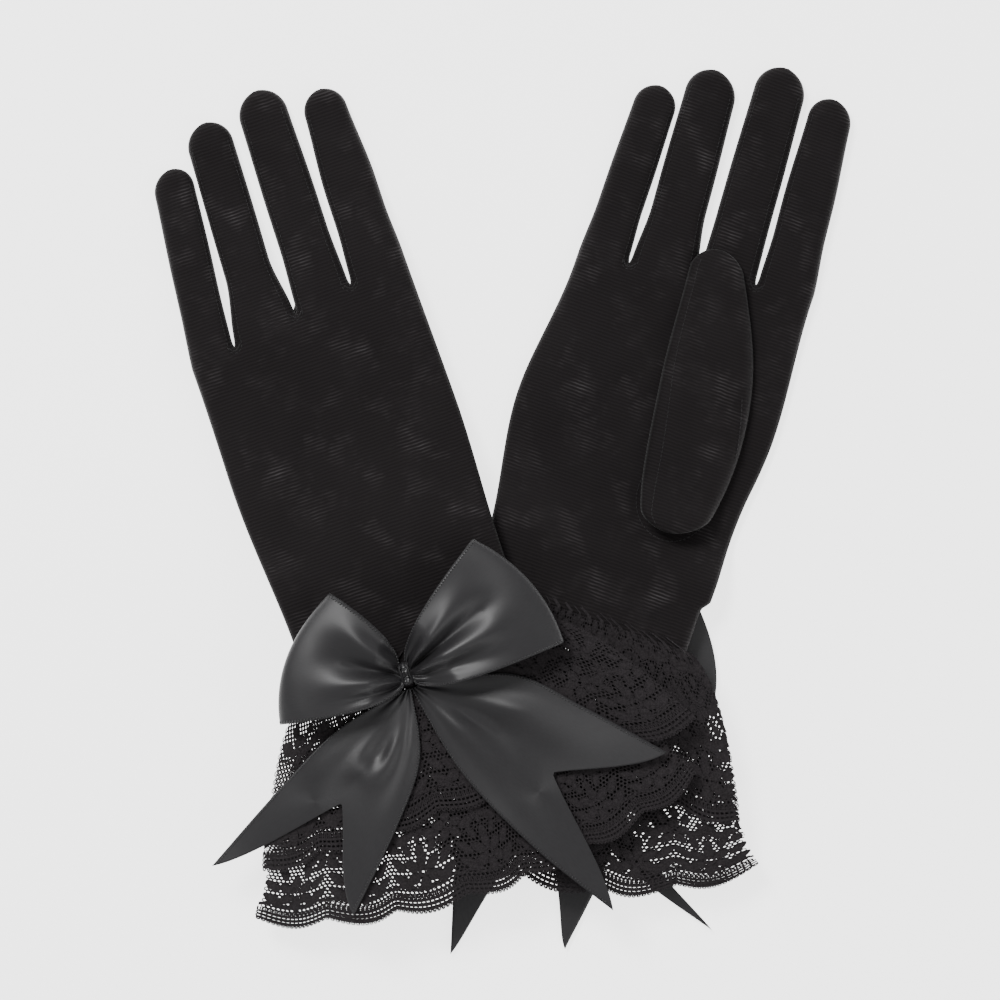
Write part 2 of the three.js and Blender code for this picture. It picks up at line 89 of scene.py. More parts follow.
low, high = (Vector(corner) for corner in cad_box)
centre = (low + high) / 2
camera = linked("camera", bpy.data.cameras.new("camera"))
camera.location = (centre.x + CAMERA_SHIFT[0], centre.y + CAMERA_SHIFT[1], CAMERA_HEIGHT)
camera.data.sensor_width = 36
camera.data.lens = camera.data.sensor_width * (CAMERA_HEIGHT - GLOVE_LEVEL) / VIEW_WIDTH
camera.data.clip_start = 0.05
camera.data.clip_end = 20
bpy.context.scene.camera = camera


def add_light(name, place, size, power):
    """A round lamp aimed at the origin."""
    light = bpy.data.lights.new(name, "AREA")
    light.shape = "DISK"
    light.size = size
    light.energy = power
    lamp = linked(name, light)
    lamp.location = place
    lamp.rotation_euler = (-Vector(place)).to_track_quat("-Z", "Y").to_euler()


add_light("key_light", (-0.6, 0.8, 1.3), 0.55, 22)
add_light("fill_light", (0.9, -0.6, 1.0), 0.9, 4)
world = bpy.data.worlds.new("soft_room")
world.use_nodes = True
for key, value in (("Color", (1, 1, 1, 1)), ("Strength", 0.55)):
    world.node_tree.nodes["Background"].inputs[key].default_value = value
bpy.context.scene.world = world


# ---- Small helpers ------------------------------------------------------------------------------
def smooth(x):
    x = np.clip(x, 0, 1)
    return x * x * (3 - 2 * x)


def fall(x, start, end):
    return 1 - smooth((x - start) / (end - start))


def mix(a, b, share):
    return a + (b - a) * share


def root(x):
    return np.sqrt(np.maximum(x, 0))


def quarter_round(x, width):
    """Rises steeply from 0 and levels out at 1 where x reaches the width."""
    return root(1 - (1 - np.minimum(x / width, 1)) ** 2)


def boxy(x, power):
    """Takes a sine or cosine toward the corners of a box."""
    return np.sign(x) * np.abs(x) ** power


def hump(x, middle, width):
    return np.exp(-(((x - middle) / width) ** 2))


def new_object(name, vertices, faces, material, uv=None, flat=False):
    """A mesh object at the origin. uv gives one pair for each vertex."""
    mesh = bpy.data.meshes.new(name)
    mesh.from_pydata([tuple(p) for p in vertices], [], [tuple(f) for f in faces])
    if uv is not None:
        layer = mesh.uv_layers.new(name="cloth")
        corner = np.zeros(len(mesh.loops), np.int32)
        mesh.loops.foreach_get("vertex_index", corner)
        layer.data.foreach_set("uv", np.asarray(uv, np.float32)[corner].ravel())
    if flat:
        mesh.shade_flat()
    else:
        mesh.shade_smooth()
    mesh.materials.append(material)
    return linked(name, mesh)


def grid_faces(rows, columns, start=0, turned=False):
    """Quads between the points of a rows by columns grid that was laid down row by row."""
    faces = []
    for r in range(rows - 1):
        for c in range(columns - 1):
            a = start + r * columns + c
            quad = (a, a + 1, a + columns + 1, a + columns)
            faces.append(quad[::-1] if turned else quad)
    return faces


def ring_faces(first, second, count):
    """Quads between two closed rings of count points, each given by the number of its first point."""
    return [(first + j, first + (j + 1) % count, second + (j + 1) % count, second + j) for j in range(count)]


def weld(obj, distance=0.004 * MM):
    """Joins corners that lie on each other, such as the two faces of a tube along its edge."""
    bm = bmesh.new()
    bm.from_mesh(obj.data)
    bmesh.ops.remove_doubles(bm, verts=bm.verts, dist=distance)
    bmesh.ops.dissolve_degenerate(bm, edges=bm.edges, dist=distance / 10)
    bm.to_mesh(obj.data)
    bm.free()
    return obj


def thicken(obj, thickness, offset, rim=True):
    """Gives a surface its thickness: offset -1 inwards, 0 to both sides."""
    solid = obj.modifiers.new("thickness", "SOLIDIFY")
    solid.thickness = thickness * MM
    solid.offset = offset
    solid.use_rim = rim
    return obj


def add_node(tree, kind, settings=None, **inputs):
    """Adds a node, its inputs set or linked. An input goes by its name, or by its number as in i0."""
    made = tree.nodes.new(kind)
    for key, value in (settings or {}).items():
        setattr(made, key, value)
    for key, value in inputs.items():
        numbered = key[0] == "i" and key[1:].isdigit()
        slot = made.inputs[int(key[1:]) if numbered else key.replace("_", " ")]
        if isinstance(value, bpy.types.NodeSocket):
            tree.links.new(value, slot)
        else:
            slot.default_value = value
    return made


def calc_node(tree, operation, *values):
    numbered = {f"i{number}": value for number, value in enumerate(values)}
    return add_node(tree, "ShaderNodeMath", {"operation": operation}, **numbered).outputs[0]


def vector_node(tree, *parts):
    numbered = {f"i{number}": part for number, part in enumerate(parts)}
    return add_node(tree, "ShaderNodeCombineXYZ", **numbered).outputs[0]


# ---- Materials ----------------------------------------------------------------------------------
def new_material(name, **sockets):
    """A principled material, with helpers that add a node, add a sum, and link to the shader."""
    material = bpy.data.materials.new(name)
    material.use_nodes = True
    tree = material.node_tree
    shader = tree.nodes["Principled BSDF"]
    for key, value in sockets.items():
        shader.inputs[key.replace("_", " ")].default_value = value

    def node(kind, settings=None, **inputs):
        return add_node(tree, "ShaderNode" + kind, settings, **inputs).outputs[0]

    def link(value, socket):
        tree.links.new(value, shader.inputs[socket])

    return material, node, partial(calc_node, tree), link


def own_place(material):
    """Output of a material's tree: the place of each point on its own object."""
    return add_node(material.node_tree, "ShaderNodeTexCoord").outputs["Object"]


def colour_ramp(material, factor, stops):
    ramp = add_node(material.node_tree, "ShaderNodeValToRGB", Fac=factor)
    while len(ramp.color_ramp.elements) < len(stops):
        ramp.color_ramp.elements.new(0.5)
    for element, (place, colour) in zip(ramp.color_ramp.elements, stops):
        element.position = place
        element.color = (*colour, 1)
    return ramp.outputs["Color"]


def knit_material():
    """Sheer mesh: fine ribs across the hand, and painted light: pale moire patches where light shines through
    two layers seen through each other.
    """
    material, node, calc, link = new_material(
        "mesh_knit", Roughness=0.82, Specular_IOR_Level=0.12, Sheen_Weight=0.06, Sheen_Roughness=0.4)
    cloth = node("UVMap", {"uv_map": "cloth"})
    along = {"bands_direction": "Y"}
    drift = node("TexNoise", Vector=cloth, Scale=3.5, Detail=2.0)
    see_through_light_patches = node("TexNoise", Vector=cloth, Scale=6.5, Detail=3.0, Roughness=0.6)
    upper = node("TexWave", along, Vector=cloth, Scale=27.0, Distortion=1.2, Detail=1.0)
    turned = node("Mapping", Vector=cloth, Rotation=(0, 0, 0.05), Scale=(1, 1.045, 1))
    lower = node("TexWave", along, Vector=turned, Scale=27.0, Distortion=2.2, Detail=1.0)
    both = calc("MULTIPLY", upper, lower)
    # Painted light: in noisy patches the crossing ribs of both layers are lightened for light shining through
    # the mesh
    where = node("MapRange", Value=see_through_light_patches, i1=0.5, i2=0.78)
    shine = calc("MULTIPLY", both, where)
    rib_tone = calc("MULTIPLY", upper, 0.11)
    soft = calc("MULTIPLY_ADD", drift, 0.14, rib_tone)
    shade = calc("ADD", shine, soft)
    # The pale end of this ramp is the painted light through the mesh; the rest is the knit's own dark tone,
    # ribs and drift
    link(colour_ramp(material, shade, [
        (0.04, (0.0075, 0.0060, 0.0064)), (0.2, (0.0140, 0.0120, 0.0126)), (0.5, (0.026, 0.023, 0.024)),
        (1.0, (0.062, 0.058, 0.060)),
    ]), "Base Color")
    rib = calc("ADD", upper, drift)
    link(node("Bump", Strength=0.35, Distance=0.00025, Height=rib), "Normal")
    return material


def satin_material():
    """Satin: long smooth floats along the ribbon, with a fine weave and a faint cloudy lustre."""
    material, node, calc, link = new_material(
        "satin_ribbon", Roughness=0.46, Specular_IOR_Level=0.52, Sheen_Weight=0.08, Sheen_Roughness=0.35,
        Anisotropic=0.4)
    cloth = node("UVMap", {"uv_map": "cloth"})
    cloud = node("TexNoise", Vector=cloth, Scale=4.0, Detail=3.0)
    stretched = node("Mapping", Vector=cloth, Scale=(260, 40, 1))
    float_lines = node("TexNoise", Vector=stretched, Scale=1.0, Detail=2.0)
    weft = node("TexWave", {"bands_direction": "Y"}, Vector=cloth, Scale=95.0, Distortion=0.6)
    lustre = calc("MULTIPLY", cloud, 0.5)
    grain = calc("MULTIPLY", float_lines, 0.6)
    shade = calc("ADD", lustre, grain)
    tones = [(0.2, (0.0105, 0.0098, 0.0108)), (0.9, (0.0215, 0.0205, 0.0225))]
    link(colour_ramp(material, shade, tones), "Base Color")
    link(node("MapRange", Value=cloud, i3=0.4, i4=0.5), "Roughness")
    height = calc("ADD", float_lines, weft)
    link(node("Bump", Strength=0.1, Distance=0.00008, Height=height), "Normal")
    return material


def thread_material(name, pale, dark, scale, shine):
    """Twisted thread: short slanting light and dark plies."""
    material, node, _, link = new_material(name, Roughness=0.8, Specular_IOR_Level=shine, Sheen_Weight=0.08)
    where = own_place(material)
    fleck = node("TexNoise", Vector=where, Scale=scale, Detail=3.0, Roughness=0.6)
    link(colour_ramp(material, fleck, [(0.3, dark), (0.7, pale)]), "Base Color")
    ply = node("TexWave", {"bands_direction": "DIAGONAL"}, Vector=where, Scale=scale * 0.9, Distortion=2.0)
    link(node("Bump", Strength=0.5, Distance=0.0001, Height=ply), "Normal")
    return material


def jet_material():
    material, node, _, link = new_material(
        "jet_glass", Roughness=0.06, Coat_Weight=0.5, Coat_Roughness=0.03, IOR=1.6)
    where = own_place(material)
    smear = node("TexNoise", Vector=where, Scale=700.0, Detail=2.0)
    tones = [(0.3, (0.003, 0.003, 0.0035)), (0.8, (0.012, 0.012, 0.014))]
    link(colour_ramp(material, smear, tones), "Base Color")
    link(node("MapRange", Value=smear, i3=0.04, i4=0.14), "Roughness")
    return material


def floor_material():
    material, node, _, link = new_material(
        "pale_floor", Roughness=0.9, Specular_IOR_Level=0.1, Emission_Strength=2.6)
    where = own_place(material)
    tint = node("TexNoise", Vector=where, Scale=3.0, Detail=2.0)
    pale = colour_ramp(material, tint, [(0.3, (0.93, 0.93, 0.93)), (0.7, (0.95, 0.95, 0.95))])
    link(pale, "Base Color")
    link(pale, "Emission Color")
    return material


KNIT = knit_material()
SATIN = satin_material()
LACE = thread_material("lace_thread", (0.030, 0.026, 0.028), (0.012, 0.010, 0.011), 1500.0, 0.15)
SEWING = thread_material("sewing_thread", (0.020, 0.018, 0.019), (0.008, 0.007, 0.008), 2500.0, 0.3)
ELASTIC = thread_material("elastic_band", (0.018, 0.016, 0.017), (0.009, 0.008, 0.009), 900.0, 0.2)
JET = jet_material()

FLOOR_HALF = 1.5
corners = [(x * FLOOR_HALF, y * FLOOR_HALF, 0) for x, y in ((-1, -1), (1, -1), (1, 1), (-1, 1))]
floor = new_object("floor", corners, [(0, 1, 2, 3)], floor_material())

# ---- The gloves' plan, in millimetres -----------------------------------------------------------
HAND_WIDTH = 81
WRIST_WIDTH = 77
HAND_LENGTH = 105
KNUCKLE_SLOPE = 0.157
CUFF_SEAM = -26
FINGER_HINGE = 14
CLOTH_HALF = 2.95  # from the middle of a glove lying flat to its outer face
BOW_FLOOR = 5.0  # and to the near side of its bow
CLOTH_THICK = 0.3
UNDER_WRINKLE = 0.4  # share of the wrinkles on a hand's lower face
TIER_HEIGHT = 4.05
LOWER_HEIGHT = 2.8
PALM_LIFT = 7.2
BOW_LIFT = 7.75
CROSSING_LIFT = 9.85
RIBBON_WIDTH = 46
KNOT = (-6, -22.5)
KNOT_SIZE = (4.2, 8)
TAIL_START = -27.85
REST_HEIGHT = 0.35  # cloth that rests on the floor keeps this far above it


def left_middle(u, v):
    """Height of the left glove's middle: it climbs over the right glove's cuff."""
    climb = PALM_LIFT * fall(v, 95, 165) + CROSSING_LIFT * fall(v, 10, 70)
    return 3.1 + climb * (1 - 0.5 * smooth((-42 - u) / 42))


def right_middle(u, v):
    """Height of the right glove's middle: its cuff lies on its own bow."""
    return 3.1 + BOW_LIFT * fall(v, 4, 24)


# fingers: name, share of the hand's width, length, lean in degrees, width, and width near the tip
# loops: direction in degrees, reach, rounding and skew of the far end, body
# tails: the left and the right edge from the knot outwards, layers under it, and how far it droops
GLOVES = {
    "left": {
        "up": 1, "place": (-33.8, -30.9), "lean": 19.5, "swell": (0.9, 0.3), "flare": 0,
        "middle": left_middle,
        "fingers": [
            ("little", 0.2, 66, 6.4, 15.5, 14.5), ("ring", 0.29, 74, 2.8, 17.4, 16.8),
            ("middle", 0.256, 75, 1.4, 19, 17.8), ("index", 0.254, 65, 1.2, 18.8, 15.2),
        ],
        "upper": {"half": (74, 81), "curve": 0.1, "end": 70},
        "lower": {"half": (82, 75), "curve": 0.65, "end": 100},
        "bow": {"rise": 4.4, "knot": 6, "layers": 1},
        "loops": {
            "left": (152, 40, 6, -5, "left_bow_left_loop"), "right": (17, 52, 5, 2, "left_bow_right_loop"),
        },
        "tails": {
            "left": ([(-9.2, TAIL_START), (-34.5, -33), (-59, -45), (-89.9, -62.3)],
                     [(-6.2, TAIL_START), (-11, -51), (-26.5, -70.7), (-49.7, -93.5)], 0, 0),
            "right": ([(-5.8, TAIL_START), (0.5, -60), (15, -92), (33.2, -121.1)],
                      [(-2.8, TAIL_START), (27.4, -34.6), (46.5, -52.9), (68, -76.8)], 0, 0),
        },
    },
    "right": {
        "up": -1, "place": (32.5, -18), "lean": -19, "swell": (4.4, 3), "flare": 2.4,
        "middle": right_middle,
        "fingers": [
            ("little", 0.218, 62, -0.2, 16, 15), ("ring", 0.286, 70, -3.8, 19.5, 18.5),
            ("middle", 0.25, 75, -3.2, 19.5, 18.5), ("index", 0.246, 67, -4.6, 18, 15.5),
        ],
        "upper": {"half": (56, 74), "curve": 0.3, "end": 70},
        "lower": {"half": (60, 85), "curve": 0.87, "end": 108},
        "bow": {"rise": 0.8, "knot": 2.8, "layers": 2},
        "loops": {
            "left": (178, 34, 6, 0, "right_hand"), "right": (-5, 59, 9, 7, "right_hand"),
        },
        "tails": {
            "left": ([(-9.2, TAIL_START), (-15, -60), (-14.5, -100), (-3.7, -141.9)],
                     [(-6.2, TAIL_START), (18, -50), (36, -85), (32.8, -127.5)], 1, 3),
            "right": ([(-5.8, TAIL_START), (8, -60), (36, -90), (78.2, -105)],
                      [(-2.8, TAIL_START), (12, -47), (34, -62), (58, -78)], 0, 3),
        },
    },
}


def to_world(side, u, v, z):
    """Points of a glove's plan, at a height above the middle of the glove, in metres in the pair's frame."""
    glove = GLOVES[side]
    u, v, z = np.broadcast_arrays(*(np.asarray(a, float) for a in (u, v, z)))
    lean = math.radians(glove["lean"])
    x = glove["place"][0] + u * math.cos(lean) - v * math.sin(lean)
    y = glove["place"][1] + u * math.sin(lean) + v * math.cos(lean)
    return np.stack([x, y, glove["middle"](u, v) + z], -1).reshape(-1, 3) * MM


def crotch_line(u):
    return HAND_LENGTH + KNUCKLE_SLOPE * u


def finger_list(side):
    edge = -HAND_WIDTH / 2
    made = []
    for name, share, length, lean, wide, tip in GLOVES[side]["fingers"]:
        half = share * HAND_WIDTH / 2
        made.append({"name": name, "root": edge + half, "half": half, "length": length,
                     "slant": math.tan(math.radians(lean)), "wide": wide, "tip": tip})
        edge += 2 * half
    return made


def finger_point(finger, s, d, inner=(0, 0)):
    """Place in the plan: s across the finger from 0 to 1, d from its root. inner trims a side by a gap."""
    reach = d / finger["length"]
    narrow = mix(finger["half"], finger["wide"] / 2, smooth(reach / 0.3))
    body = mix(narrow, finger["tip"] / 2, smooth((reach - 0.45) / 0.5))
    tip_share = np.clip(d - (finger["length"] - finger["tip"] / 2), 0, None) / (finger["tip"] / 2)
    half = body * root(1 - tip_share ** 2)
    gap = 0.5 * root(np.minimum(d / 2.5, 1))
    side = 2 * s - 1
    half = half - gap * np.where(side < 0, inner[0], inner[1]) * (half > 1)
    fade = 1 - smooth((d - FINGER_HINGE - 0.35) / (finger["length"] - 2 * FINGER_HINGE))
    shift = finger["slant"] * d + side * half
    return finger["root"] + shift, crotch_line(finger["root"] + shift * fade) + d


def palm_point(side, at_root, v):
    """A point of the palm that runs down from a place along the finger roots."""
    half = mix(WRIST_WIDTH, HAND_WIDTH, smooth(v / 60)) / 2
    little_swell, thumb_swell = GLOVES[side]["swell"]
    left = half + little_swell * fall(np.abs(v - 45), 0, 50)
    right = half + thumb_swell * fall(np.abs(v - 60), 0, 50)
    right = right + GLOVES[side]["flare"] * smooth((v + 3) / 4) * fall(v, 6, 40)
    return at_root / (HAND_WIDTH / 2) * np.where(at_root < 0, left, right), v


# ---- Hand and fingers ---------------------------------------------------------------------------
PALM_ROWS = 104
FINGER_ROWS = 62
FINGER_COLUMNS = 16
STUB_ROWS = 5
FINGER_CUT = 5.0  # the hand's cloth ends this far above the crotches, and the finger's begins
BEND = (-3, 10)  # distances from a finger's hinge; the points there are worked out, but the finger is not bent
OUTLINE_BATCH = 200
# Which sides of each finger lie next to another finger
SIDES = {"little": (0, 1), "ring": (1, 1), "middle": (1, 1), "index": (1, 0)}
# Each finger's seams: how far in from its two sides they run
SEAM_INSETS = {"little": (None, 0.13), "ring": (0.12, 0.13), "middle": (0.12, 0.14), "index": (0.13, None)}


def creases(side, u, v):
    """Soft wrinkles: gathers above the cuff, slanting folds over the hand, rolls over the knuckles."""
    gather = 0.22 * np.sin(u * 1.15 + 1.3 * np.sin(u * 0.31)) * fall(v, CUFF_SEAM + 4, 16)
    drape = 0.18 * np.sin(u * 0.13 + v * 0.085 + 1.1 * np.sin(v * 0.045)) * fall(np.abs(v - 45), 10, 60)
    slack = 0.12 * np.sin(u * 0.42 - v * 0.23 + 1.6 * np.sin(u * 0.09)) * fall(np.abs(v - 60), 20, 70)
    roll = 0.07 * np.sin(v * 0.62 + u * 0.21) * smooth((v - 95) / 20)
    return (gather + drape + slack + roll) * (1 if side == "left" else 0.8)


def hand_layout(side):
    """The plan of each finger's columns from the cuff seam to the fingertip, and the outline of the hand."""
    steps = np.linspace(0, 1, PALM_ROWS)[:, None]
    finger_steps = 1 - (1 - np.linspace(0, 1, FINGER_ROWS)) ** 1.5
    stub = np.linspace(0, FINGER_CUT, STUB_ROWS + 1)[1:]
    s = np.linspace(0, 1, FINGER_COLUMNS + 1)
    plan, outline = [], []
    for finger in finger_list(side):
        inner = SIDES[finger["name"]]
        at_root = finger["root"] + (2 * s - 1) * finger["half"]
        palm_v = mix(CUFF_SEAM, crotch_line(at_root)[None, :], steps)
        palm_u, palm_v = palm_point(side, np.broadcast_to(at_root, palm_v.shape), palm_v)
        d = np.concatenate([stub, mix(FINGER_CUT, finger["length"], finger_steps)[1:]])
        fu, fv = finger_point(finger, s[None, :], d[:, None], inner)
        u, v = np.vstack([palm_u, fu]), np.vstack([palm_v, fv])
        plan.append((finger, u, v))
        place = np.stack([u, v], -1)
        first = [PALM_ROWS - 1 if beside_gap else 0 for beside_gap in inner]
        for line in (place[first[0]:, 0], place[first[1]:, -1], place[-1]):
            for a, b in zip(line[:-1], line[1:]):
                outline.extend([a, (a + b) / 2])
            outline.append(line[-1])
    return plan, np.array(outline)


def cloth_height(u, v, outline):
    """Share of the flattened glove's height: full in the middle and nothing along its outline."""
    points = np.stack([u.ravel(), v.ravel()], -1)
    near = np.full(len(points), 1e9)
    for start in range(0, len(outline), OUTLINE_BATCH):
        gap = points[:, None, :] - outline[None, start:start + OUTLINE_BATCH, :]
        near = np.minimum(near, (gap ** 2).sum(-1).min(1))
    near = np.sqrt(near).reshape(u.shape)
    return quarter_round(near, 4.2 + 9 * smooth((crotch_line(u) - v) / 45))


def face_point(side, u, v, outline, face, lift=0.0):
    """Points of the cloth's upper (1) or lower (-1) face, or just proud of it."""
    full = cloth_height(u, v, outline)
    wrinkle = creases(side, u, v) * full * (1 if face > 0 else UNDER_WRINKLE)
    return to_world(side, u, v, face * (CLOTH_HALF * full + lift) + wrinkle)


def cloth_mesh(name, side, sheets, outline):
    """The upper and lower face over each sheet of the plan, welded along the outline."""
    vertices, faces, uv = [], [], []
    for u, v in sheets:
        for face in (1, -1):
            start = sum(len(block) for block in vertices)
            vertices.append(face_point(side, u, v, outline, face))
            uv.append(np.stack([u.ravel() / 100, v.ravel() / 100 + (0 if face > 0 else 0.004)], -1))
            faces.extend(grid_faces(*u.shape, start=start, turned=face < 0))
    cloth = weld(new_object(name, np.vstack(vertices), faces, KNIT, np.vstack(uv)))
    return thicken(cloth, CLOTH_THICK, -1, rim=False)


def hinge_point(side, finger, off):
    """A point at the finger's hinge, off millimetres beyond it, square to the hinge line."""
    u = finger["root"] + finger["slant"] * FINGER_HINGE
    v = crotch_line(u) + FINGER_HINGE
    square = np.array([-KNUCKLE_SLOPE, 1]) / math.hypot(KNUCKLE_SLOPE, 1)
    return to_world(side, u + square[0] * off, v + square[1] * off, 0)[0]


def bend_with_finger(obj, side, finger):
    start, end = (hinge_point(side, finger, off) for off in BEND)
    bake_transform(obj)


# ---- Stitches, and whatever else repeats along a line --------------------------------------------
def new_tree(name, sockets):
    """A node tree whose inputs have a name, kind and first value, and helpers that fill and close it."""
    tree = bpy.data.node_groups.new(name, "GeometryNodeTree")
    for label, kind, value in (("Geometry", "Geometry", None), *sockets):
        socket = tree.interface.new_socket(label, in_out="INPUT", socket_type="NodeSocket" + kind)
        if value is not None:
            socket.default_value = value
    tree.interface.new_socket("Geometry", in_out="OUTPUT", socket_type="NodeSocketGeometry")
    start, end = tree.nodes.new("NodeGroupInput").outputs, tree.nodes.new("NodeGroupOutput").inputs

    def geo(kind, settings=None, **inputs):
        return add_node(tree, "GeometryNode" + kind, settings, **inputs).outputs

    def finish(geometry):
        """Makes real pieces of everything, in the tree's material."""
        real = geo("RealizeInstances", Geometry=geometry)
        painted = geo("SetMaterial", Geometry=real[0], Material=start["Material"])
        tree.links.new(painted[0], end[0])
        return tree

    return tree, start, geo, partial(calc_node, tree), finish


def line_tree():
    """Geometry Nodes: sets one small piece after another along the lines of a mesh."""
    tree, start, geo, calc, finish = new_tree("pieces_along_a_line", (
        ("Pitch", "Float", 0.0016), ("Piece", "Object", None), ("Size", "Float", 1.0),
        ("Unevenness", "Float", 0.12), ("Material", "Material", None),
    ))
    curve = geo("MeshToCurve", Mesh=start["Geometry"])
    evenly = geo("ResampleCurve", {"mode": "LENGTH"}, Curve=curve[0], Length=start["Pitch"])
    upright = geo("SetCurveNormal", {"mode": "Z_UP"}, Curve=evenly[0])
    points = geo("CurveToPoints", {"mode": "EVALUATED"}, Curve=upright[0])
    uneven = add_node(
        tree, "FunctionNodeRandomValue", {"data_type": "FLOAT"}, Seed=11,
        i2=calc("SUBTRACT", 1.0, start["Unevenness"]), i3=calc("ADD", 1.0, start["Unevenness"]))
    placed = geo(
        "InstanceOnPoints", Points=points["Points"], Rotation=points["Rotation"],
        Instance=geo("ObjectInfo", Object=start["Piece"])["Geometry"],
        Scale=calc("MULTIPLY", uneven.outputs[1], start["Size"]))
    return finish(placed[0])


LINE_TREE = line_tree()


def applied(obj, tree, **inputs):
    """Runs a node tree over obj and leaves the result on it as a plain mesh."""
    modifier = obj.modifiers.new("nodes", "NODES")
    modifier.node_group = tree
    sockets = {s.name: s.identifier for s in tree.interface.items_tree if s.in_out == "INPUT"}
    for key, value in inputs.items():
        modifier[sockets[key.replace("_", " ")]] = value
    bpy.context.view_layer.update()
    result = bpy.data.meshes.new_from_object(obj.evaluated_get(bpy.context.evaluated_depsgraph_get()))
    for index in reversed(range(len(result.materials))):
        if result.materials[index] is None:
            result.materials.pop(index=index)
    obj.modifiers.clear()
    obj.data = result
    result.name = obj.name
    return obj


def hidden_part(obj):
    """A pattern piece that only feeds a node tree."""
    for collection in list(obj.users_collection):
        collection.objects.unlink(obj)
    return obj


def rounded_piece(name, size, ring=6, steps=4):
    """A small rounded bar along its own Z axis, the direction of the line it is set on."""
    across, high, along = (a * MM / 2 for a in size)
    vertices = [(0, 0, -along)]
    for i in range(1, steps):
        angle = math.pi * i / steps
        for j in range(ring):
            turn = 2 * math.pi * j / ring
            vertices.append((across * math.sin(angle) * math.cos(turn),
                             high * math.sin(angle) * math.sin(turn), -along * math.cos(angle)))
    vertices.append((0, 0, along))
    last = len(vertices) - 1
    faces = []
    for j in range(ring):
        k = (j + 1) % ring
        faces.append((0, 1 + k, 1 + j))
        faces.append((last, last - ring + j, last - ring + k))
    for i in range(steps - 2):
        faces.extend(ring_faces(1 + i * ring, 1 + (i + 1) * ring, ring))
    return hidden_part(new_object(name, vertices, faces, SEWING))


STITCH = rounded_piece("stitch", (0.34, 0.3, 1.25))
TACK = rounded_piece("tack", (0.55, 0.5, 1.3))
SELVEDGE = rounded_piece("selvedge_loop", (0.9, 0.62, 0.62))
STITCH_PITCH = 1.5
TACK_PITCH = 0.9
SELVEDGE_PITCH = 1.05
SEAM_LIFT = 0.06  # stitches and selvedges lie this far above what they are sewn to
TACK_LIFT = 0.12
SELVEDGE_LIFT = 0.16


def line_object(name, lines, piece, pitch, material, unevenness=0.12):
    """Pieces set along lines, each a list of points in metres."""
    vertices, edges = [], []
    for line in lines:
        start = len(vertices)
        vertices.extend(tuple(p) for p in line)
        edges.extend((start + i, start + i + 1) for i in range(len(line) - 1))
    mesh = bpy.data.meshes.new(name)
    mesh.from_pydata(vertices, edges, [])
    made = linked(name, mesh)
    applied(made, LINE_TREE, Pitch=pitch * MM, Piece=piece, Unevenness=unevenness, Material=material)
    made.data.shade_smooth()
    return made


def build_hand(side):
    hand_body = f"{side}_hand"
    plan, outline = hand_layout(side)
    cut_row = PALM_ROWS + STUB_ROWS
    hand = cloth_mesh(f"{side}_hand_cloth", side, [(u[:cut_row], v[:cut_row]) for _, u, v in plan], outline)
    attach(hand, hand_body)
    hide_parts(f"{side}_hand_back", f"{side}_hand_palm")
    for finger, u, v in plan:
        name = finger["name"]
        beyond = [(u[cut_row - 1:], v[cut_row - 1:])]
        cloth = cloth_mesh(f"{side}_{name}_finger_cloth", side, beyond, outline)
        nodes = [f"{side}_{name}_back", f"{side}_{name}_palm"]
        for beside_gap, strip in zip(SIDES[name], ("outer", "inner")):
            nodes += [f"{side}_{name}_fourchette_{strip}"] * beside_gap
        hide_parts(*nodes)
        lines = []
        d = np.linspace(FINGER_CUT, finger["length"] * 0.88, 60)
        for inset, start in zip(SEAM_INSETS[name], (0, 1)):
            if inset is not None:
                fu, fv = finger_point(finger, np.full_like(d, abs(start - inset)), d)
                lines.extend(face_point(side, fu, fv, outline, face, SEAM_LIFT) for face in (1, -1))
        seam = line_object(f"{side}_{name}_finger_seams", lines, STITCH, STITCH_PITCH, SEWING)
        bend_with_finger(cloth, side, finger)
        bend_with_finger(seam, side, finger)
    build_hand_seams(side, plan, outline, hand_body)


def build_hand_seams(side, plan, outline, hand_body):
    """Short seams from each crotch into the hand, with a few tacking stitches bunched at its foot."""
    lines, tacks = [], []
    fingers = [finger for finger, _, _ in plan]
    d = np.linspace(0, FINGER_CUT, 6)
    down = np.linspace(1, 0, 6) * math.pi / 2
    across = np.linspace(-1.9, 1.9, 9)
    for left, right in zip(fingers[:-1], fingers[1:]):
        at = left["root"] + left["half"]
        foot = crotch_line(at)
        for finger, start in ((left, 1), (right, 0)):
            inset = SEAM_INSETS[finger["name"]][start]
            fu, fv = finger_point(finger, np.full_like(d, abs(start - inset)), d)
            hook_u = at + (fu[0] - at) * np.sin(down)
            hook_v = foot - 2.4 + (fv[0] - foot + 2.4) * (1 - np.cos(down))
            lu, lv = np.concatenate([fu[::-1], hook_u[1:]]), np.concatenate([fv[::-1], hook_v[1:]])
            lines.extend(face_point(side, lu, lv, outline, face, SEAM_LIFT) for face in (1, -1))
        bunch = foot - 1.5 + 0.35 * across ** 2
        tacks.extend(face_point(side, at + across, bunch, outline, face, TACK_LIFT) for face in (1, -1))
    seam = line_object(f"{side}_crotch_seams", lines, STITCH, STITCH_PITCH, SEWING)
    knots = line_object(f"{side}_crotch_tacks", tacks, TACK, TACK_PITCH, SEWING, unevenness=0.3)
    for piece in (seam, knots):
        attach(piece, hand_body)


# ---- Thumb --------------------------------------------------------------------------------------
THUMB_LENGTHS = {"left": 94, "right": 98}
THUMB_WIDTH = 32
THUMB_HOLLOW = 4.8
THUMB_FOOT = (20, 18.5)
THUMB_LEAN = math.radians(9.3)
THUMB_SWEEP = 12
THUMB_ROUND = 7  # its two ends are rounded over this length
THUMB_NEAR = 3.5  # the thumb's near face, from the middle of the hand
THUMB_SEAM_LIFT = 0.05


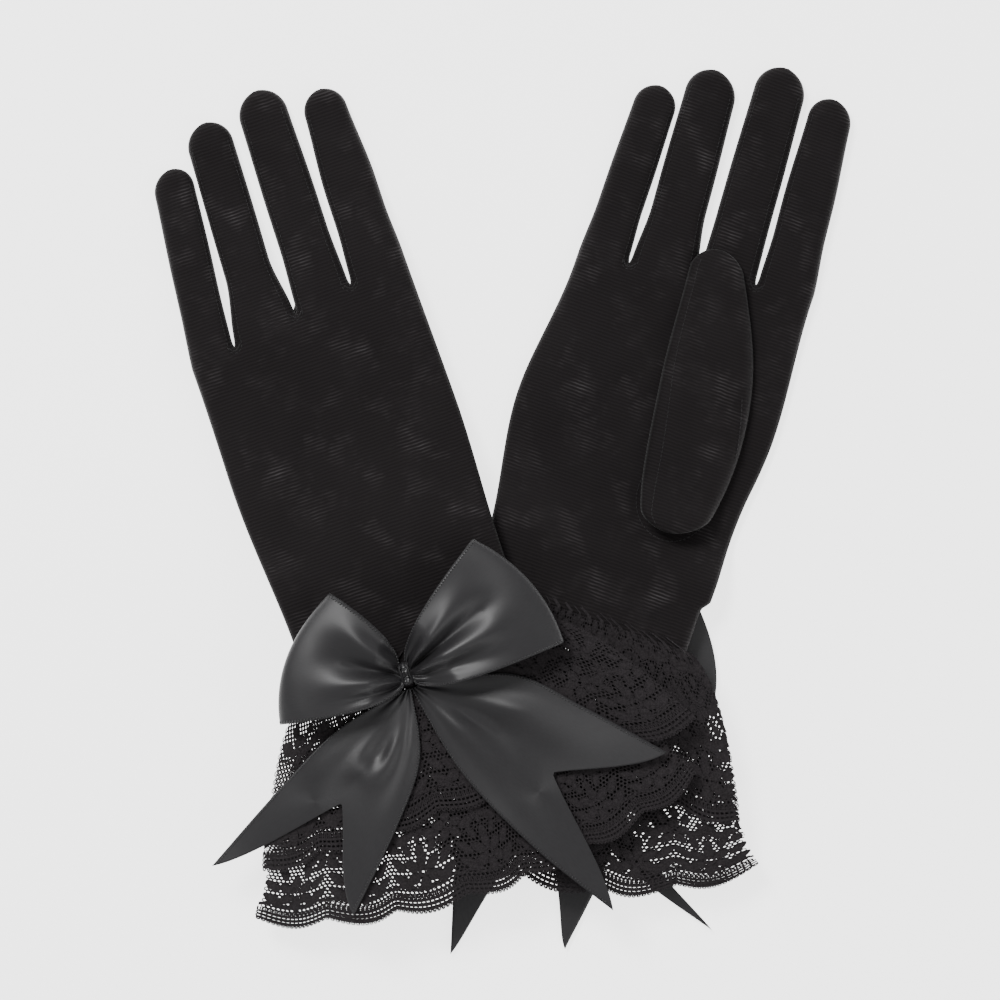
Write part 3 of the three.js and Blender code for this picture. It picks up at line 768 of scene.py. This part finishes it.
def thumb_plan(side, s, t):
    length = THUMB_LENGTHS[side]
    distance = t * length
    swell = THUMB_WIDTH / 2 * root(np.sin(math.pi * mix(0.1, 0.9, t ** 0.8)))
    half = swell * mix(1, 0.86, smooth((t - 0.55) / 0.45))
    end = np.minimum(distance, length - distance)
    half = half * quarter_round(end, THUMB_ROUND)
    u = THUMB_FOOT[0] - math.sin(THUMB_LEAN) * distance + (2 * s - 1) * half * math.cos(THUMB_LEAN)
    v = THUMB_FOOT[1] + math.cos(THUMB_LEAN) * distance + (2 * s - 1) * half * math.sin(THUMB_LEAN)
    return u + 4 * np.sin(math.pi * t), v


def thumb_point(side, s, t, face, lift=0.0):
    """World points, and their plan. face 0 is the side against the palm, 1 the outer side."""
    up = GLOVES[side]["up"]
    u, v = thumb_plan(side, s, t)
    full = quarter_round(np.minimum(s, 1 - s), 0.24) * quarter_round(np.minimum(t, 1 - t), 0.09)
    thick = THUMB_HOLLOW + 1.0
    fold = 0.2 * np.sin(u * 0.5 + v * 0.16) * full + 0.16 * np.sin(v * 0.33 - u * 0.12) * full
    pinch = -0.5 * hump(s, 0.93 - 0.1 * np.sin(t * 5), 0.05) * hump(t, 0.42, 0.12)
    height = mix(thick * 0.28, thick, full) + fold + pinch if face else mix(thick * 0.28, 0, full)
    z = -up * (THUMB_NEAR + height + (lift if face else -lift))
    world_points = to_world(side, u, v, z)
    level = GLOVES[side]["middle"]
    shift = level(u, v + up * THUMB_SWEEP) - level(u, v)
    world_points[:, 2] = np.maximum(world_points[:, 2] + shift.ravel() * MM, REST_HEIGHT * MM)
    return world_points, u, v


def build_thumb(side):
    rows, columns = 84, 25
    t = (1 - np.cos(np.linspace(0, math.pi, rows))) / 2
    t, s = np.meshgrid(t, np.linspace(0, 1, columns), indexing="ij")
    vertices, faces, uv = [], [], []
    for face in (0, 1):
        points, u, v = thumb_point(side, s, t, face)
        start = face * points.shape[0]
        vertices.append(points)
        uv.append(np.stack([u.ravel() / 100 + 0.3, v.ravel() / 100], -1))
        outward = -GLOVES[side]["up"] * (1 if face else -1) > 0
        faces.extend(grid_faces(rows, columns, start, turned=not outward))
    thumb = weld(new_object(f"{side}_thumb_cloth", np.vstack(vertices), faces, KNIT, np.vstack(uv)))
    thicken(thumb, CLOTH_THICK, -1)
    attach(thumb, f"{side}_thumb")
    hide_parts(f"{side}_thumb_inner", f"{side}_thumb_outer")
    run = np.linspace(0.03, 0.95, 90)
    inset = 0.14 + 0.03 * np.sin(run * 7)
    outer = thumb_point(side, inset, run, 1, THUMB_SEAM_LIFT)[0]
    tuck = thumb_point(side, np.linspace(0.97, 0.9, 20), np.linspace(0.3, 0.5, 20), 1, THUMB_SEAM_LIFT)[0]
    seam = line_object(f"{side}_thumb_seam", [outer, tuck], STITCH, STITCH_PITCH, SEWING)
    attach(seam, f"{side}_thumb")
    angle = np.linspace(math.radians(150), math.radians(395), 40)
    ring_u = THUMB_FOOT[0] - 2 + 13 * np.cos(angle)
    ring_v = THUMB_FOOT[1] + 12 + 15 * np.sin(angle)
    _, outline = hand_layout(side)
    hole = face_point(side, ring_u, ring_v, outline, -GLOVES[side]["up"], SEAM_LIFT)
    base = line_object(f"{side}_thumb_hole_seam", [hole], STITCH, STITCH_PITCH, SEWING)
    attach(base, f"{side}_hand")


# ---- Elastic ------------------------------------------------------------------------------------
def build_elastic(side):
    """A ribbed elastic band inside the cuff seam."""
    turns, ribs = 160, 9
    angle = np.linspace(0, 2 * math.pi, turns, endpoint=False)
    c, s = boxy(np.cos(angle), 0.5), boxy(np.sin(angle), 0.5)
    half, high = WRIST_WIDTH / 2 - 4.1, 2.1
    along = CUFF_SEAM + 1.6 + np.linspace(0, 5.8, ribs)
    vertices = []
    for grow in (0, -0.35):
        for i, level in enumerate(along):
            rib = 0.05 * (i % 2)
            u, z = (half + grow + rib) * c, (high + grow + rib) * s
            vertices.append(to_world(side, u, np.full_like(u, level), z))
    order = [*reversed(range(ribs)), *range(ribs, 2 * ribs), ribs - 1]
    faces = [face for a, b in zip(order[:-1], order[1:]) for face in ring_faces(a * turns, b * turns, turns)]
    band = new_object(f"{side}_elastic_band", np.vstack(vertices), faces, ELASTIC)
    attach(band, f"{side}_hand")
    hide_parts(f"{side}_elastic")


# ---- Lace ---------------------------------------------------------------------------------------
NET_PITCH = 1.5
HOLE_SHARE = 0.64  # width of a hole over the pitch of the net
SCALLOPS = 7
SCALLOP_DEPTH = 3
EDGE_PITCH = 1.45
EDGE_BAND = 4.6
TIER_START = {"upper": 17, "lower": 26.35}  # from the middle of the glove's plan
CLOSED_HEIGHT = 0.35  # of the lower tier at its two ends, where back and palm come together
TRIM_MARGIN = 0.6  # the pattern is cut off this far beyond the lace's two ends
GATHERS = 1.06  # flat width over the width that it is gathered to
LACE_GRID = (50, 150)


def lace_tree():
    """Geometry Nodes: a hexagonal net with motifs and a worked edge, cut flat, laid on a gathered sheet."""
    tree, start, geo, calc, finish = new_tree("lace_on_a_sheet", (
        ("Width", "Float", 150.0), ("Height", "Float", 60.0), ("Net Pitch", "Float", NET_PITCH),
        ("Hole Share", "Float", HOLE_SHARE), ("Motif", "Object", None), ("Motif Pitch", "Float", 22.0),
        ("Edge Piece", "Object", None), ("Edge Pitch", "Float", EDGE_PITCH),
        ("Edge Band", "Float", EDGE_BAND), ("Relief", "Float", 1.0), ("Material", "Material", None),
    ))
    width, height, pitch = start["Width"], start["Height"], start["Net Pitch"]

    vector = partial(vector_node, tree)

    def coordinates():
        return add_node(tree, "ShaderNodeSeparateXYZ", i0=geo("InputPosition")[0]).outputs

    def count(length, step):
        return calc("ROUND", calc("DIVIDE", length, step))

    def without(geometry, domain, first, second):
        """Drops what either of two tests picks out."""
        return geo("DeleteGeometry", {"domain": domain}, Geometry=geometry,
                   Selection=calc("MAXIMUM", first, second))[0]

    # Net: staggered grid, cut in triangles, whose dual is a field of hexagons
    row_pitch = calc("MULTIPLY", pitch, 0.866)
    columns, rows = count(width, pitch), count(height, row_pitch)
    grid = geo("MeshGrid", Size_X=calc("MULTIPLY", columns, pitch), Size_Y=calc("MULTIPLY", rows, row_pitch),
               Vertices_X=calc("ADD", columns, 1.0), Vertices_Y=calc("ADD", rows, 1.0))
    middle = vector(calc("MULTIPLY", columns, calc("MULTIPLY", pitch, 0.5)),
                    calc("MULTIPLY", rows, calc("MULTIPLY", row_pitch, 0.5)))
    from_corner = geo("Transform", Geometry=grid["Mesh"], Translation=middle)
    odd = calc("MODULO", count(coordinates()[1], row_pitch), 2.0)
    shift = vector(calc("MULTIPLY", calc("MULTIPLY", odd, pitch), 0.5))
    staggered = geo("SetPosition", Geometry=from_corner[0], Offset=shift)
    triangles = geo("Triangulate", {"quad_method": "SHORTEST_DIAGONAL"}, Mesh=staggered[0])
    hexagons = geo("DualMesh", Mesh=triangles[0])
    x, y, _ = coordinates()
    net = without(hexagons[0], "FACE",
                  calc("GREATER_THAN", y, calc("SUBTRACT", height, start["Edge Band"])),
                  calc("GREATER_THAN", x, width))
    # Threads: each hexagon keeps only its rim
    inset = geo("ExtrudeMesh", {"mode": "FACES"}, Mesh=net, Offset_Scale=0.0, Individual=True)
    shrunk = geo("ScaleElements", Geometry=inset["Mesh"], Selection=inset["Top"], Scale=start["Hole Share"])
    threads = geo("DeleteGeometry", {"domain": "FACE"}, Geometry=shrunk[0], Selection=inset["Top"])

    def row_of(piece, step):
        """A row of pieces along the edge, one at each step."""
        line = geo("MeshLine", {"mode": "OFFSET"}, Count=count(width, step), Offset=vector(step),
                   Start_Location=vector(calc("MULTIPLY", step, 0.5), height))
        placed = geo("InstanceOnPoints", Points=line[0], Instance=geo("ObjectInfo", Object=piece)["Geometry"])
        return geo("RealizeInstances", Geometry=placed[0])[0]

    motifs = row_of(start["Motif"], start["Motif Pitch"])
    edging = row_of(start["Edge Piece"], start["Edge Pitch"])
    together = add_node(tree, "GeometryNodeJoinGeometry")
    for part in (threads[0], motifs, edging):
        tree.links.new(part, together.inputs[0])
    x, _, _ = coordinates()
    trimmed = without(together.outputs[0], "POINT", calc("LESS_THAN", x, -TRIM_MARGIN),
                      calc("GREATER_THAN", x, calc("ADD", width, TRIM_MARGIN)))
    # Laying on: each flat point goes to the same place of the gathered sheet
    x, y, z = coordinates()
    vectors = {"data_type": "FLOAT_VECTOR"}
    sheet = geo("SampleUVSurface", vectors, Mesh=start["Geometry"], Value=geo("InputPosition")[0],
                UV_Map=geo("InputNamedAttribute", vectors, Name="cloth")["Attribute"],
                Sample_UV=vector(calc("DIVIDE", x, width), calc("DIVIDE", y, height)))
    raised = vector(0.0, 0.0, calc("MULTIPLY", calc("MULTIPLY", z, MM), start["Relief"]))
    laid = geo("SetPosition", Geometry=trimmed, Position=sheet[0], Offset=raised)
    return finish(laid[0])


LACE_TREE = lace_tree()


class Pattern:
    """Flat clothwork and cord for one repeat of the lace, in millimetres: x along, y up from the edge."""

    def __init__(self):
        self.vertices, self.faces = [], []

    def fan(self, points, rise):
        start = len(self.vertices)
        middle = np.mean(points, axis=0)
        self.vertices.append((middle[0], -middle[1], rise))
        self.vertices.extend((x, -y, rise * 0.4) for x, y in points)
        count = len(points)
        self.faces.extend((start, start + 1 + i, start + 1 + (i + 1) % count) for i in range(count))

    def strip(self, points, wide, rise):
        """A flat cord along points."""
        points = np.asarray(points, float)
        direction = np.gradient(points, axis=0)
        direction /= np.linalg.norm(direction, axis=1)[:, None]
        square = np.stack([-direction[:, 1], direction[:, 0]], -1) * wide / 2
        start = len(self.vertices)
        for a, b in zip(points + square, points - square):
            self.vertices.extend([(a[0], -a[1], rise), (b[0], -b[1], rise)])
        self.faces.extend((start + 2 * i, start + 2 * i + 1, start + 2 * i + 3, start + 2 * i + 2)
                          for i in range(len(points) - 1))

    def leaf(self, x, y, angle, length, wide):
        turn = np.linspace(0, 2 * math.pi, 13)[:-1]
        along = (1 - np.cos(turn)) / 2 * length
        across = np.sin(turn) * wide / 2 * (0.75 + 0.35 * (1 - along / length))
        c, s = math.cos(math.radians(angle)), math.sin(math.radians(angle))
        outline = np.stack([x + along * c - across * s, y + along * s + across * c], -1)
        self.fan(outline, 0.14)
        self.strip(np.vstack([outline, outline[:1]]), 0.3, 0.16)

    def ring(self, x, y, radius, wide):
        turn = np.linspace(0, 2 * math.pi, 15)
        self.strip(np.stack([x + radius * np.cos(turn), y + radius * np.sin(turn)], -1), wide, 0.15)

    def flower(self, x, y, radius, petals, first):
        for i in range(petals):
            angle = first + 360 * i / petals
            c, s = math.cos(math.radians(angle)), math.sin(math.radians(angle))
            foot = (x + c * radius * 0.3, y + s * radius * 0.3)
            self.leaf(*foot, angle, radius * 0.8, radius * 3.4 / petals)
        self.ring(x, y, radius * 0.24, radius * 0.14)

    def made(self, name):
        return hidden_part(new_object(name, self.vertices, self.faces, LACE))


def lace_repeat(name, pitch, height):
    """One repeat: a rose over each scallop, leaf sprays between, and smaller sprigs in the rows above."""
    lace = Pattern()
    half = pitch / 2
    lace.flower(0, 12.8, 6.2, 6, 90)
    for way in (-1, 1):
        lace.leaf(way * 4.6, 8.2, 90 - way * 62, 7.2, 3.5)
        lace.leaf(way * 6.2, 13.6, 90 - way * 50, 6.0, 3.1)
        lace.leaf(way * 3.6, 18.2, 90 - way * 25, 4.8, 2.6)
        reach = np.linspace(0, 1, 12)
        arc = 6.2 + 2.4 * np.sin(reach * math.pi)
        lace.strip(np.stack([way * (2 + (half - 2) * reach), arc], -1), 0.5, 0.12)
        lace.strip(np.stack([way * half * reach, 7.4 + 0.5 * np.cos(reach * 9)], -1), 0.75, 0.12)
    row, level = 0, 24.0
    while level < height - 4:
        shift = half * ((row + 1) % 2)
        lace.flower(shift, level, 4.2 if row % 2 else 5.0, 5, 90 + 36 * row)
        for way in (-1, 1):
            lace.leaf(shift + way * 4.0, level - 1.2, 90 - way * (68 - 12 * (row % 2)), 6.4, 3.3)
            lace.leaf(shift + way * 2.8, level + 3.6, 90 - way * 30, 4.4, 2.4)
            reach = np.linspace(0, 1, 10)
            arc = level - 4 + 2.2 * reach ** 2
            lace.strip(np.stack([shift + way * half * 0.85 * reach, arc], -1), 0.45, 0.12)
        lace.flower(shift + half, level + 2.4, 3.4, 6, 30)
        lace.leaf(shift + half, level - 2.2, -90, 3.6, 3.0)
        row, level = row + 1, level + 11.5
    return lace.made(name)


def lace_edge(name):
    """One step of the worked edge: dense bands with two rows of eyelets, and a picot."""
    lace = Pattern()
    half = EDGE_PITCH / 2 + 0.01
    for base, top in ((0.0, 0.85), (1.5, 2.35), (3.05, 3.75)):
        lace.strip([(-half, (base + top) / 2), (half, (base + top) / 2)], top - base, 0.1)
    for base, top in ((0.8, 1.55), (2.3, 3.1), (3.7, EDGE_BAND + 0.7)):
        lace.strip([(-half, base), (-half, top)], 0.5, 0.08)
    lace.strip([(half * 0.1, 3.7), (half * 0.1, EDGE_BAND + 0.5)], 0.4, 0.08)
    turn = np.linspace(-0.35, math.pi + 0.35, 7)
    lace.strip(np.stack([0.5 * np.cos(turn), -0.05 - 0.75 * np.sin(turn)], -1), 0.42, 0.1)
    return lace.made(name)


LACE_EDGE = lace_edge("lace_edge_step")
SHEET_MARGIN = 0.06  # the pattern sheet runs on past the lace by this share


def lace_place(side, tier, face, s, t):
    """World points of a tier: s across the cuff, t from its top edge to its scallops."""
    spec = GLOVES[side][tier]
    up = GLOVES[side]["up"]
    sign = up if face == "back" else -up
    upper = tier == "upper"
    wave = SCALLOP_DEPTH * t * np.abs(np.sin(math.pi * SCALLOPS * s))
    distance = mix(TIER_START[tier], spec["end"] + wave - 1.0, t)
    flare = np.where(s < 0.5, *spec["half"])
    across = 2 * s - 1
    u = across * mix(WRIST_WIDTH / 2 - 1, flare, np.maximum(t, 0) ** 0.6)
    ruffle = np.sin(math.pi * 9 * s + 0.8 * np.sin(7 * s) + (0 if upper else 1.1))
    u = u + 1.1 * ruffle * np.cos(0.5 * math.pi * across) * t
    v = -root(distance ** 2 - (spec["curve"] * u * t) ** 2)
    loose = smooth((np.abs(across) - 0.5) / 0.35) if upper else smooth((t - 0.72) / 0.2)
    frill = fall(t, 0.02, 0.17) if upper else 0 * t
    swing = (0.14 + 0.5 * loose * (1 if up * sign > 0 else 0.3)) * ruffle * smooth(t / 0.3)
    swing = swing + 0.35 * frill * np.sin(math.pi * 26 * s)
    height = TIER_HEIGHT if upper else LOWER_HEIGHT
    closing = 1 - quarter_round(np.minimum(s, 1 - s), 0.22)
    side_close = 0 if upper else (LOWER_HEIGHT - CLOSED_HEIGHT) * closing
    points = to_world(side, u, v, sign * (height - side_close + swing * (1 if sign > 0 else 0.6)))
    points[:, 2] = np.maximum(points[:, 2], REST_HEIGHT * MM)
    return points


def build_lace(side):
    for tier in ("upper", "lower"):
        spec = GLOVES[side][tier]
        length = spec["end"] - TIER_START[tier]
        width = sum(spec["half"]) * GATHERS
        for face in ("back", "palm"):
            name = f"{side}_{tier}_lace_{face}"
            rows, columns = LACE_GRID
            t = np.linspace(-0.005, 1 + SHEET_MARGIN, rows)
            s = np.linspace(-SHEET_MARGIN / 2, 1 + SHEET_MARGIN / 2, columns)
            t, s = np.meshgrid(t, s, indexing="ij")
            uv = np.stack([s.ravel(), t.ravel()], -1)
            sheet = new_object(
                name + "_cloth", lace_place(side, tier, face, s, t), grid_faces(rows, columns), LACE, uv)
            pitch = width / SCALLOPS
            repeat = lace_repeat(name + "_repeat", pitch, length)
            up_face = (face == "back") == (GLOVES[side]["up"] > 0)
            applied(sheet, LACE_TREE, Width=width, Height=float(length), Motif=repeat, Motif_Pitch=pitch,
                    Edge_Piece=LACE_EDGE, Edge_Pitch=width / round(width / EDGE_PITCH),
                    Relief=1.0 if up_face else -1.0, Material=LACE)
            sheet.data.shade_flat()
            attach(sheet, f"{side}_hand")
            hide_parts(name)


# ---- Bows ---------------------------------------------------------------------------------------
RIBBON_THICK = 0.35
RIBBON_GAP = 0.25  # under the lowest ribbon
LAYER_STEP = 0.85  # from one ribbon to the one that lies on it
LOOP_HALF = 0.7  # half the height of a loop that is pressed flat
FULL_RISE = 4.4  # rise of the loops that show their pleats in full
EDGE_PLACE = 0.016  # share of the ribbon's width from its edge to its selvedge
RIBBON_BEND = (2, 9)  # distances from the knot's middle; for a ribbon on a joint the points there are worked out, but it is not bent
LOOP_GRID = (120, 44)
TAIL_GRID = (90, 48)
TAIL_CLOTH = 95  # length of a tail's weave


def bow_point(side, u, v, z):
    """A point of the bow, at a height above the middle of the cuff."""
    glove = GLOVES[side]
    u, v, z = np.broadcast_arrays(*(np.asarray(a, float) for a in (u, v, z)))
    points = to_world(side, u, v, glove["up"] * z)
    if glove["up"] < 0:
        level = glove["middle"](np.array(KNOT[0]), np.array(KNOT[1]))
        points[:, 2] += (level - glove["middle"](u, v).ravel()) * MM
    return points


# Folds of the left bow's ribbons: place across at the knot and at the end, width, height, how far they reach
LOOP_FOLDS = {
    "left": [(0.3, 0.16, 0.085, 2.0, 0.75), (0.5, 0.46, 0.065, -2.6, 0.6), (0.66, 0.74, 0.085, 2.0, 0.62),
             (0.84, 0.9, 0.055, -1.5, 0.42)],
    "right": [(0.24, 0.16, 0.07, -2.0, 0.5), (0.4, 0.34, 0.08, 2.1, 0.75), (0.55, 0.58, 0.06, -2.8, 0.62),
              (0.72, 0.8, 0.08, 2.0, 0.6)],
}
TAIL_FOLDS = {
    "left": [(0.2, 0.16, 0.07, 1.0, 0.5), (0.86, 0.88, 0.06, 0.9, 0.6)],
    "right": [(0.32, 0.26, 0.09, 2.0, 0.8), (0.52, 0.5, 0.06, -1.8, 0.42), (0.7, 0.74, 0.09, 2.4, 0.85)],
}


def u_fold(s, t):
    """A soft U-shaped fold: a dent down the ribbon with a raised rim that closes round its foot."""
    ring = root(((s - 0.53) / 0.15) ** 2 + (np.maximum(t - 0.4, 0) / 0.2) ** 2)
    return (1.3 * hump(ring, 1, 0.5) - 0.8 * hump(ring, 0, 0.7)) * smooth((t - 0.1) / 0.25)


def folds(table, s, reach):
    """Height of a ribbon's folds: each fans out from the knot and dies away."""
    total = np.zeros(np.broadcast(s, reach).shape)
    for at_knot, at_end, wide, rise, far in table:
        line = mix(at_knot, at_end, smooth(reach / 0.8))
        fading = smooth(reach / 0.1) * fall(reach, far * 0.45, far + 0.25)
        total = total + rise * hump(s, line, wide * (1 + 0.8 * reach)) * fading
    return total


def loop_point(side, which, s, t, lift=0.0):
    """World points of a loop: s across its ribbon, t from the knot out underneath and back on top."""
    glove = GLOVES[side]
    direction, far_reach, rounding, skew, _ = glove["loops"][which]
    bow = glove["bow"]
    turn = (math.cos(math.radians(direction)), math.sin(math.radians(direction)))
    way = math.copysign(1, turn[0])
    angle = 2 * math.pi * t
    out = np.clip((1 - np.cos(angle)) / 2, 0, 1)
    across = 2 * s - 1
    far = far_reach - rounding * across ** 2 - skew * across
    outer, inner = RIBBON_WIDTH / 2 * across, (KNOT_SIZE[1] / 2 - 1) * across
    spreading = (outer - inner) * (out ** (0.55 if side == "left" else 0.8) - out)
    u = mix(KNOT[0] + way * (KNOT_SIZE[0] / 2 - 0.6), KNOT[0] + turn[0] * far - turn[1] * outer, out)
    v = mix(KNOT[1] + way * inner, KNOT[1] + turn[1] * far + turn[0] * outer, out)
    u, v = u - turn[1] * spreading, v + turn[0] * spreading
    bulge = bow["rise"] * np.sin(angle) * np.minimum(out * 4, 1)
    middle = BOW_FLOOR + bow["layers"] * LAYER_STEP + RIBBON_GAP + LOOP_HALF + bow["rise"]
    level = mix(BOW_FLOOR + bow["knot"] / 2, middle, smooth(out * 4))
    pleat = 0.85 * np.cos(2 * math.pi * 4.3 * s + 0.7) * np.exp(-out / 0.2) * smooth(out / 0.03)
    sunk = folds(LOOP_FOLDS[which] if side == "left" else [], s, out)
    on_top = bow["rise"] / FULL_RISE * (pleat + sunk) + lift
    z = level - LOOP_HALF * np.cos(angle / 2) - bulge + np.where(t > 0.5, on_top, -lift)
    return bow_point(side, u, v, z)


def spline(points):
    """A smooth curve through four points, as a function of 0..1."""
    points = np.array(points, float)

    def at(t):
        place = np.clip(t, 0, 1) * (len(points) - 1)
        index = np.minimum(np.floor(place).astype(int), len(points) - 2)
        w = (place - index)[..., None]
        p0 = points[np.maximum(index - 1, 0)]
        p1, p2 = points[index], points[index + 1]
        p3 = points[np.minimum(index + 2, len(points) - 1)]
        v0, v1 = (p2 - p0) / 2, (p3 - p1) / 2
        cubic, square = 2 * p1 - 2 * p2 + v0 + v1, -3 * p1 + 3 * p2 - 2 * v0 - v1
        return cubic * w ** 3 + square * w ** 2 + v0 * w + p1

    return at


def tail_point(side, which, s, t, lift=0.0):
    """World points of a tail: s across its ribbon, t from the knot to its swallow-tailed end."""
    left, right, layer, droop = GLOVES[side]["tails"][which]
    cut = t * (1 - 0.36 * t * (1 - np.abs(2 * s - 1)))
    a, b = spline(left)(cut), spline(right)(cut)
    u, v = mix(a[..., 0], b[..., 0], s), mix(a[..., 1], b[..., 1], s)
    height = BOW_FLOOR + RIBBON_GAP + layer * LAYER_STEP + droop * smooth((TAIL_START - v) / 85)
    if side == "left":
        pleat = 0.45 * np.cos(2 * math.pi * 3.2 * s) * np.exp(-t / 0.16)
        bent = folds(TAIL_FOLDS[which], s, t) + (u_fold(s, t) if which == "left" else 0)
        height = height + (pleat + np.maximum(bent * smooth((TAIL_START - 6 - v) / 14), -0.4))
    return bow_point(side, u, v, height + lift)


def build_ribbon(side, kind, which, body, direction, shape, grid, run, cloth_length, turned):
    """A loop or a tail, with a stitched selvedge along both edges. A piece off the hand is baked where it
    lies, not bent.
    """
    name = f"{side}_bow_{kind}_{which}"
    hand = f"{side}_hand"
    t, s = np.meshgrid(*(np.linspace(0, 1, count) for count in grid), indexing="ij")
    uv = np.stack([s.ravel() * RIBBON_WIDTH / 100, t.ravel() * cloth_length / 100], -1)
    faces = grid_faces(*grid, turned=turned)
    ribbon = new_object(name + "_satin", shape(side, which, s, t), faces, SATIN, uv)
    thicken(ribbon, RIBBON_THICK, 0)
    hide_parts(name)
    lines = [shape(side, which, np.full_like(run, place), run, SELVEDGE_LIFT)
             for place in (EDGE_PLACE, 1 - EDGE_PLACE)]
    edge = line_object(name + "_selvedge", lines, SELVEDGE, SELVEDGE_PITCH, SATIN)
    for piece in (ribbon, edge):
        if body == hand:
            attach(piece, hand)
        else:
            way = math.radians(direction)
            near, away = (
                bow_point(side, KNOT[0] + off * math.cos(way), KNOT[1] + off * math.sin(way), BOW_FLOOR)[0]
                for off in RIBBON_BEND)
            away[2] = near[2]
            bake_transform(piece)


def build_bow(side):
    glove = GLOVES[side]
    run = np.linspace(0.03, 0.97, 160)
    for which, (direction, reach, _, _, body) in glove["loops"].items():
        turned = (math.cos(math.radians(direction)) < 0) == (glove["up"] < 0)
        build_ribbon(side, "loop", which, body, direction, loop_point, LOOP_GRID, run, 2 * reach,
                     turned)
    run = np.linspace(0.03, 0.985, 120)
    for which in glove["tails"]:
        build_ribbon(side, "tail", which, f"{side}_bow_{which}_tail", -90, tail_point, TAIL_GRID, run,
                     TAIL_CLOTH, glove["up"] > 0)
    build_knot(side)


BEAD_TILTS = {1: 0.5, 2: -0.35}


def build_knot(side):
    """The knot: a ribbon turned tightly round the middle, with pinched creases, and two faceted beads."""
    glove = GLOVES[side]
    high = glove["bow"]["knot"]
    rows, columns = 33, 40
    along = np.linspace(-1, 1, rows)[:, None]
    turn = np.linspace(0, 2 * math.pi, columns, endpoint=False)[None, :]
    waist = root(1 - along ** 6) * (1 - 0.1 * (1 - along ** 2))
    crease = 1 + 0.09 * np.cos(7 * turn + 2 * along) * (1 - along ** 4)
    u = KNOT[0] + KNOT_SIZE[0] / 2 * boxy(np.cos(turn), 0.75) * waist * crease
    v = KNOT[1] + KNOT_SIZE[1] / 2 * along * np.ones_like(turn)
    z = BOW_FLOOR + high / 2 + high / 2 * boxy(np.sin(turn), 0.75) * waist * crease
    faces = []
    for row in range(rows - 1):
        pair = (row, row + 1) if glove["up"] < 0 else (row + 1, row)
        faces.extend(ring_faces(pair[0] * columns, pair[1] * columns, columns))
    around, length = np.broadcast_arrays(turn, along)
    uv = np.stack([around.ravel() * 0.04, length.ravel() * 0.05], -1)
    knot = weld(new_object(f"{side}_bow_knot_satin", bow_point(side, u, v, z), faces, SATIN, uv))
    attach(knot, f"{side}_hand")
    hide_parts(f"{side}_bow_knot")
    for index in (1, 2):
        node = f"{side}_bow_bead_{index}"
        low_corner, high_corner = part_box(node)
        middle, radius = (low_corner + high_corner) / 2, (high_corner.x - low_corner.x) / 2
        bead = build_bead(node + "_glass", middle, radius, BEAD_TILTS[index])
        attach(bead, f"{side}_hand")
        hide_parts(node)


def build_bead(name, middle, radius, tilt):
    """A seed bead: a rounded ring with a small hole, cut with flat facets."""
    rows, columns = 9, 12
    vertices, faces = [], []
    for i in range(rows):
        angle = 2 * math.pi * i / rows
        for j in range(columns):
            turn = 2 * math.pi * (j + 0.5 * (i % 2)) / columns
            out = radius * (0.58 + 0.42 * math.cos(angle))
            x, y, z = out * math.cos(turn), radius * 0.74 * math.sin(angle), out * math.sin(turn)
            turned = (x * math.cos(tilt) - y * math.sin(tilt), x * math.sin(tilt) + y * math.cos(tilt))
            vertices.append((turned[0] + middle.x, turned[1] + middle.y, z + middle.z))
        faces.extend(ring_faces(i * columns, ((i + 1) % rows) * columns, columns))
    bead = new_object(name, vertices, faces, JET, flat=True)
    bm = bmesh.new()
    bm.from_mesh(bead.data)
    bmesh.ops.recalc_face_normals(bm, faces=bm.faces)
    bm.to_mesh(bead.data)
    bm.free()
    return bead


for side in ("left", "right"):
    build_hand(side)
    build_thumb(side)
    build_elastic(side)
    build_lace(side)
    build_bow(side)
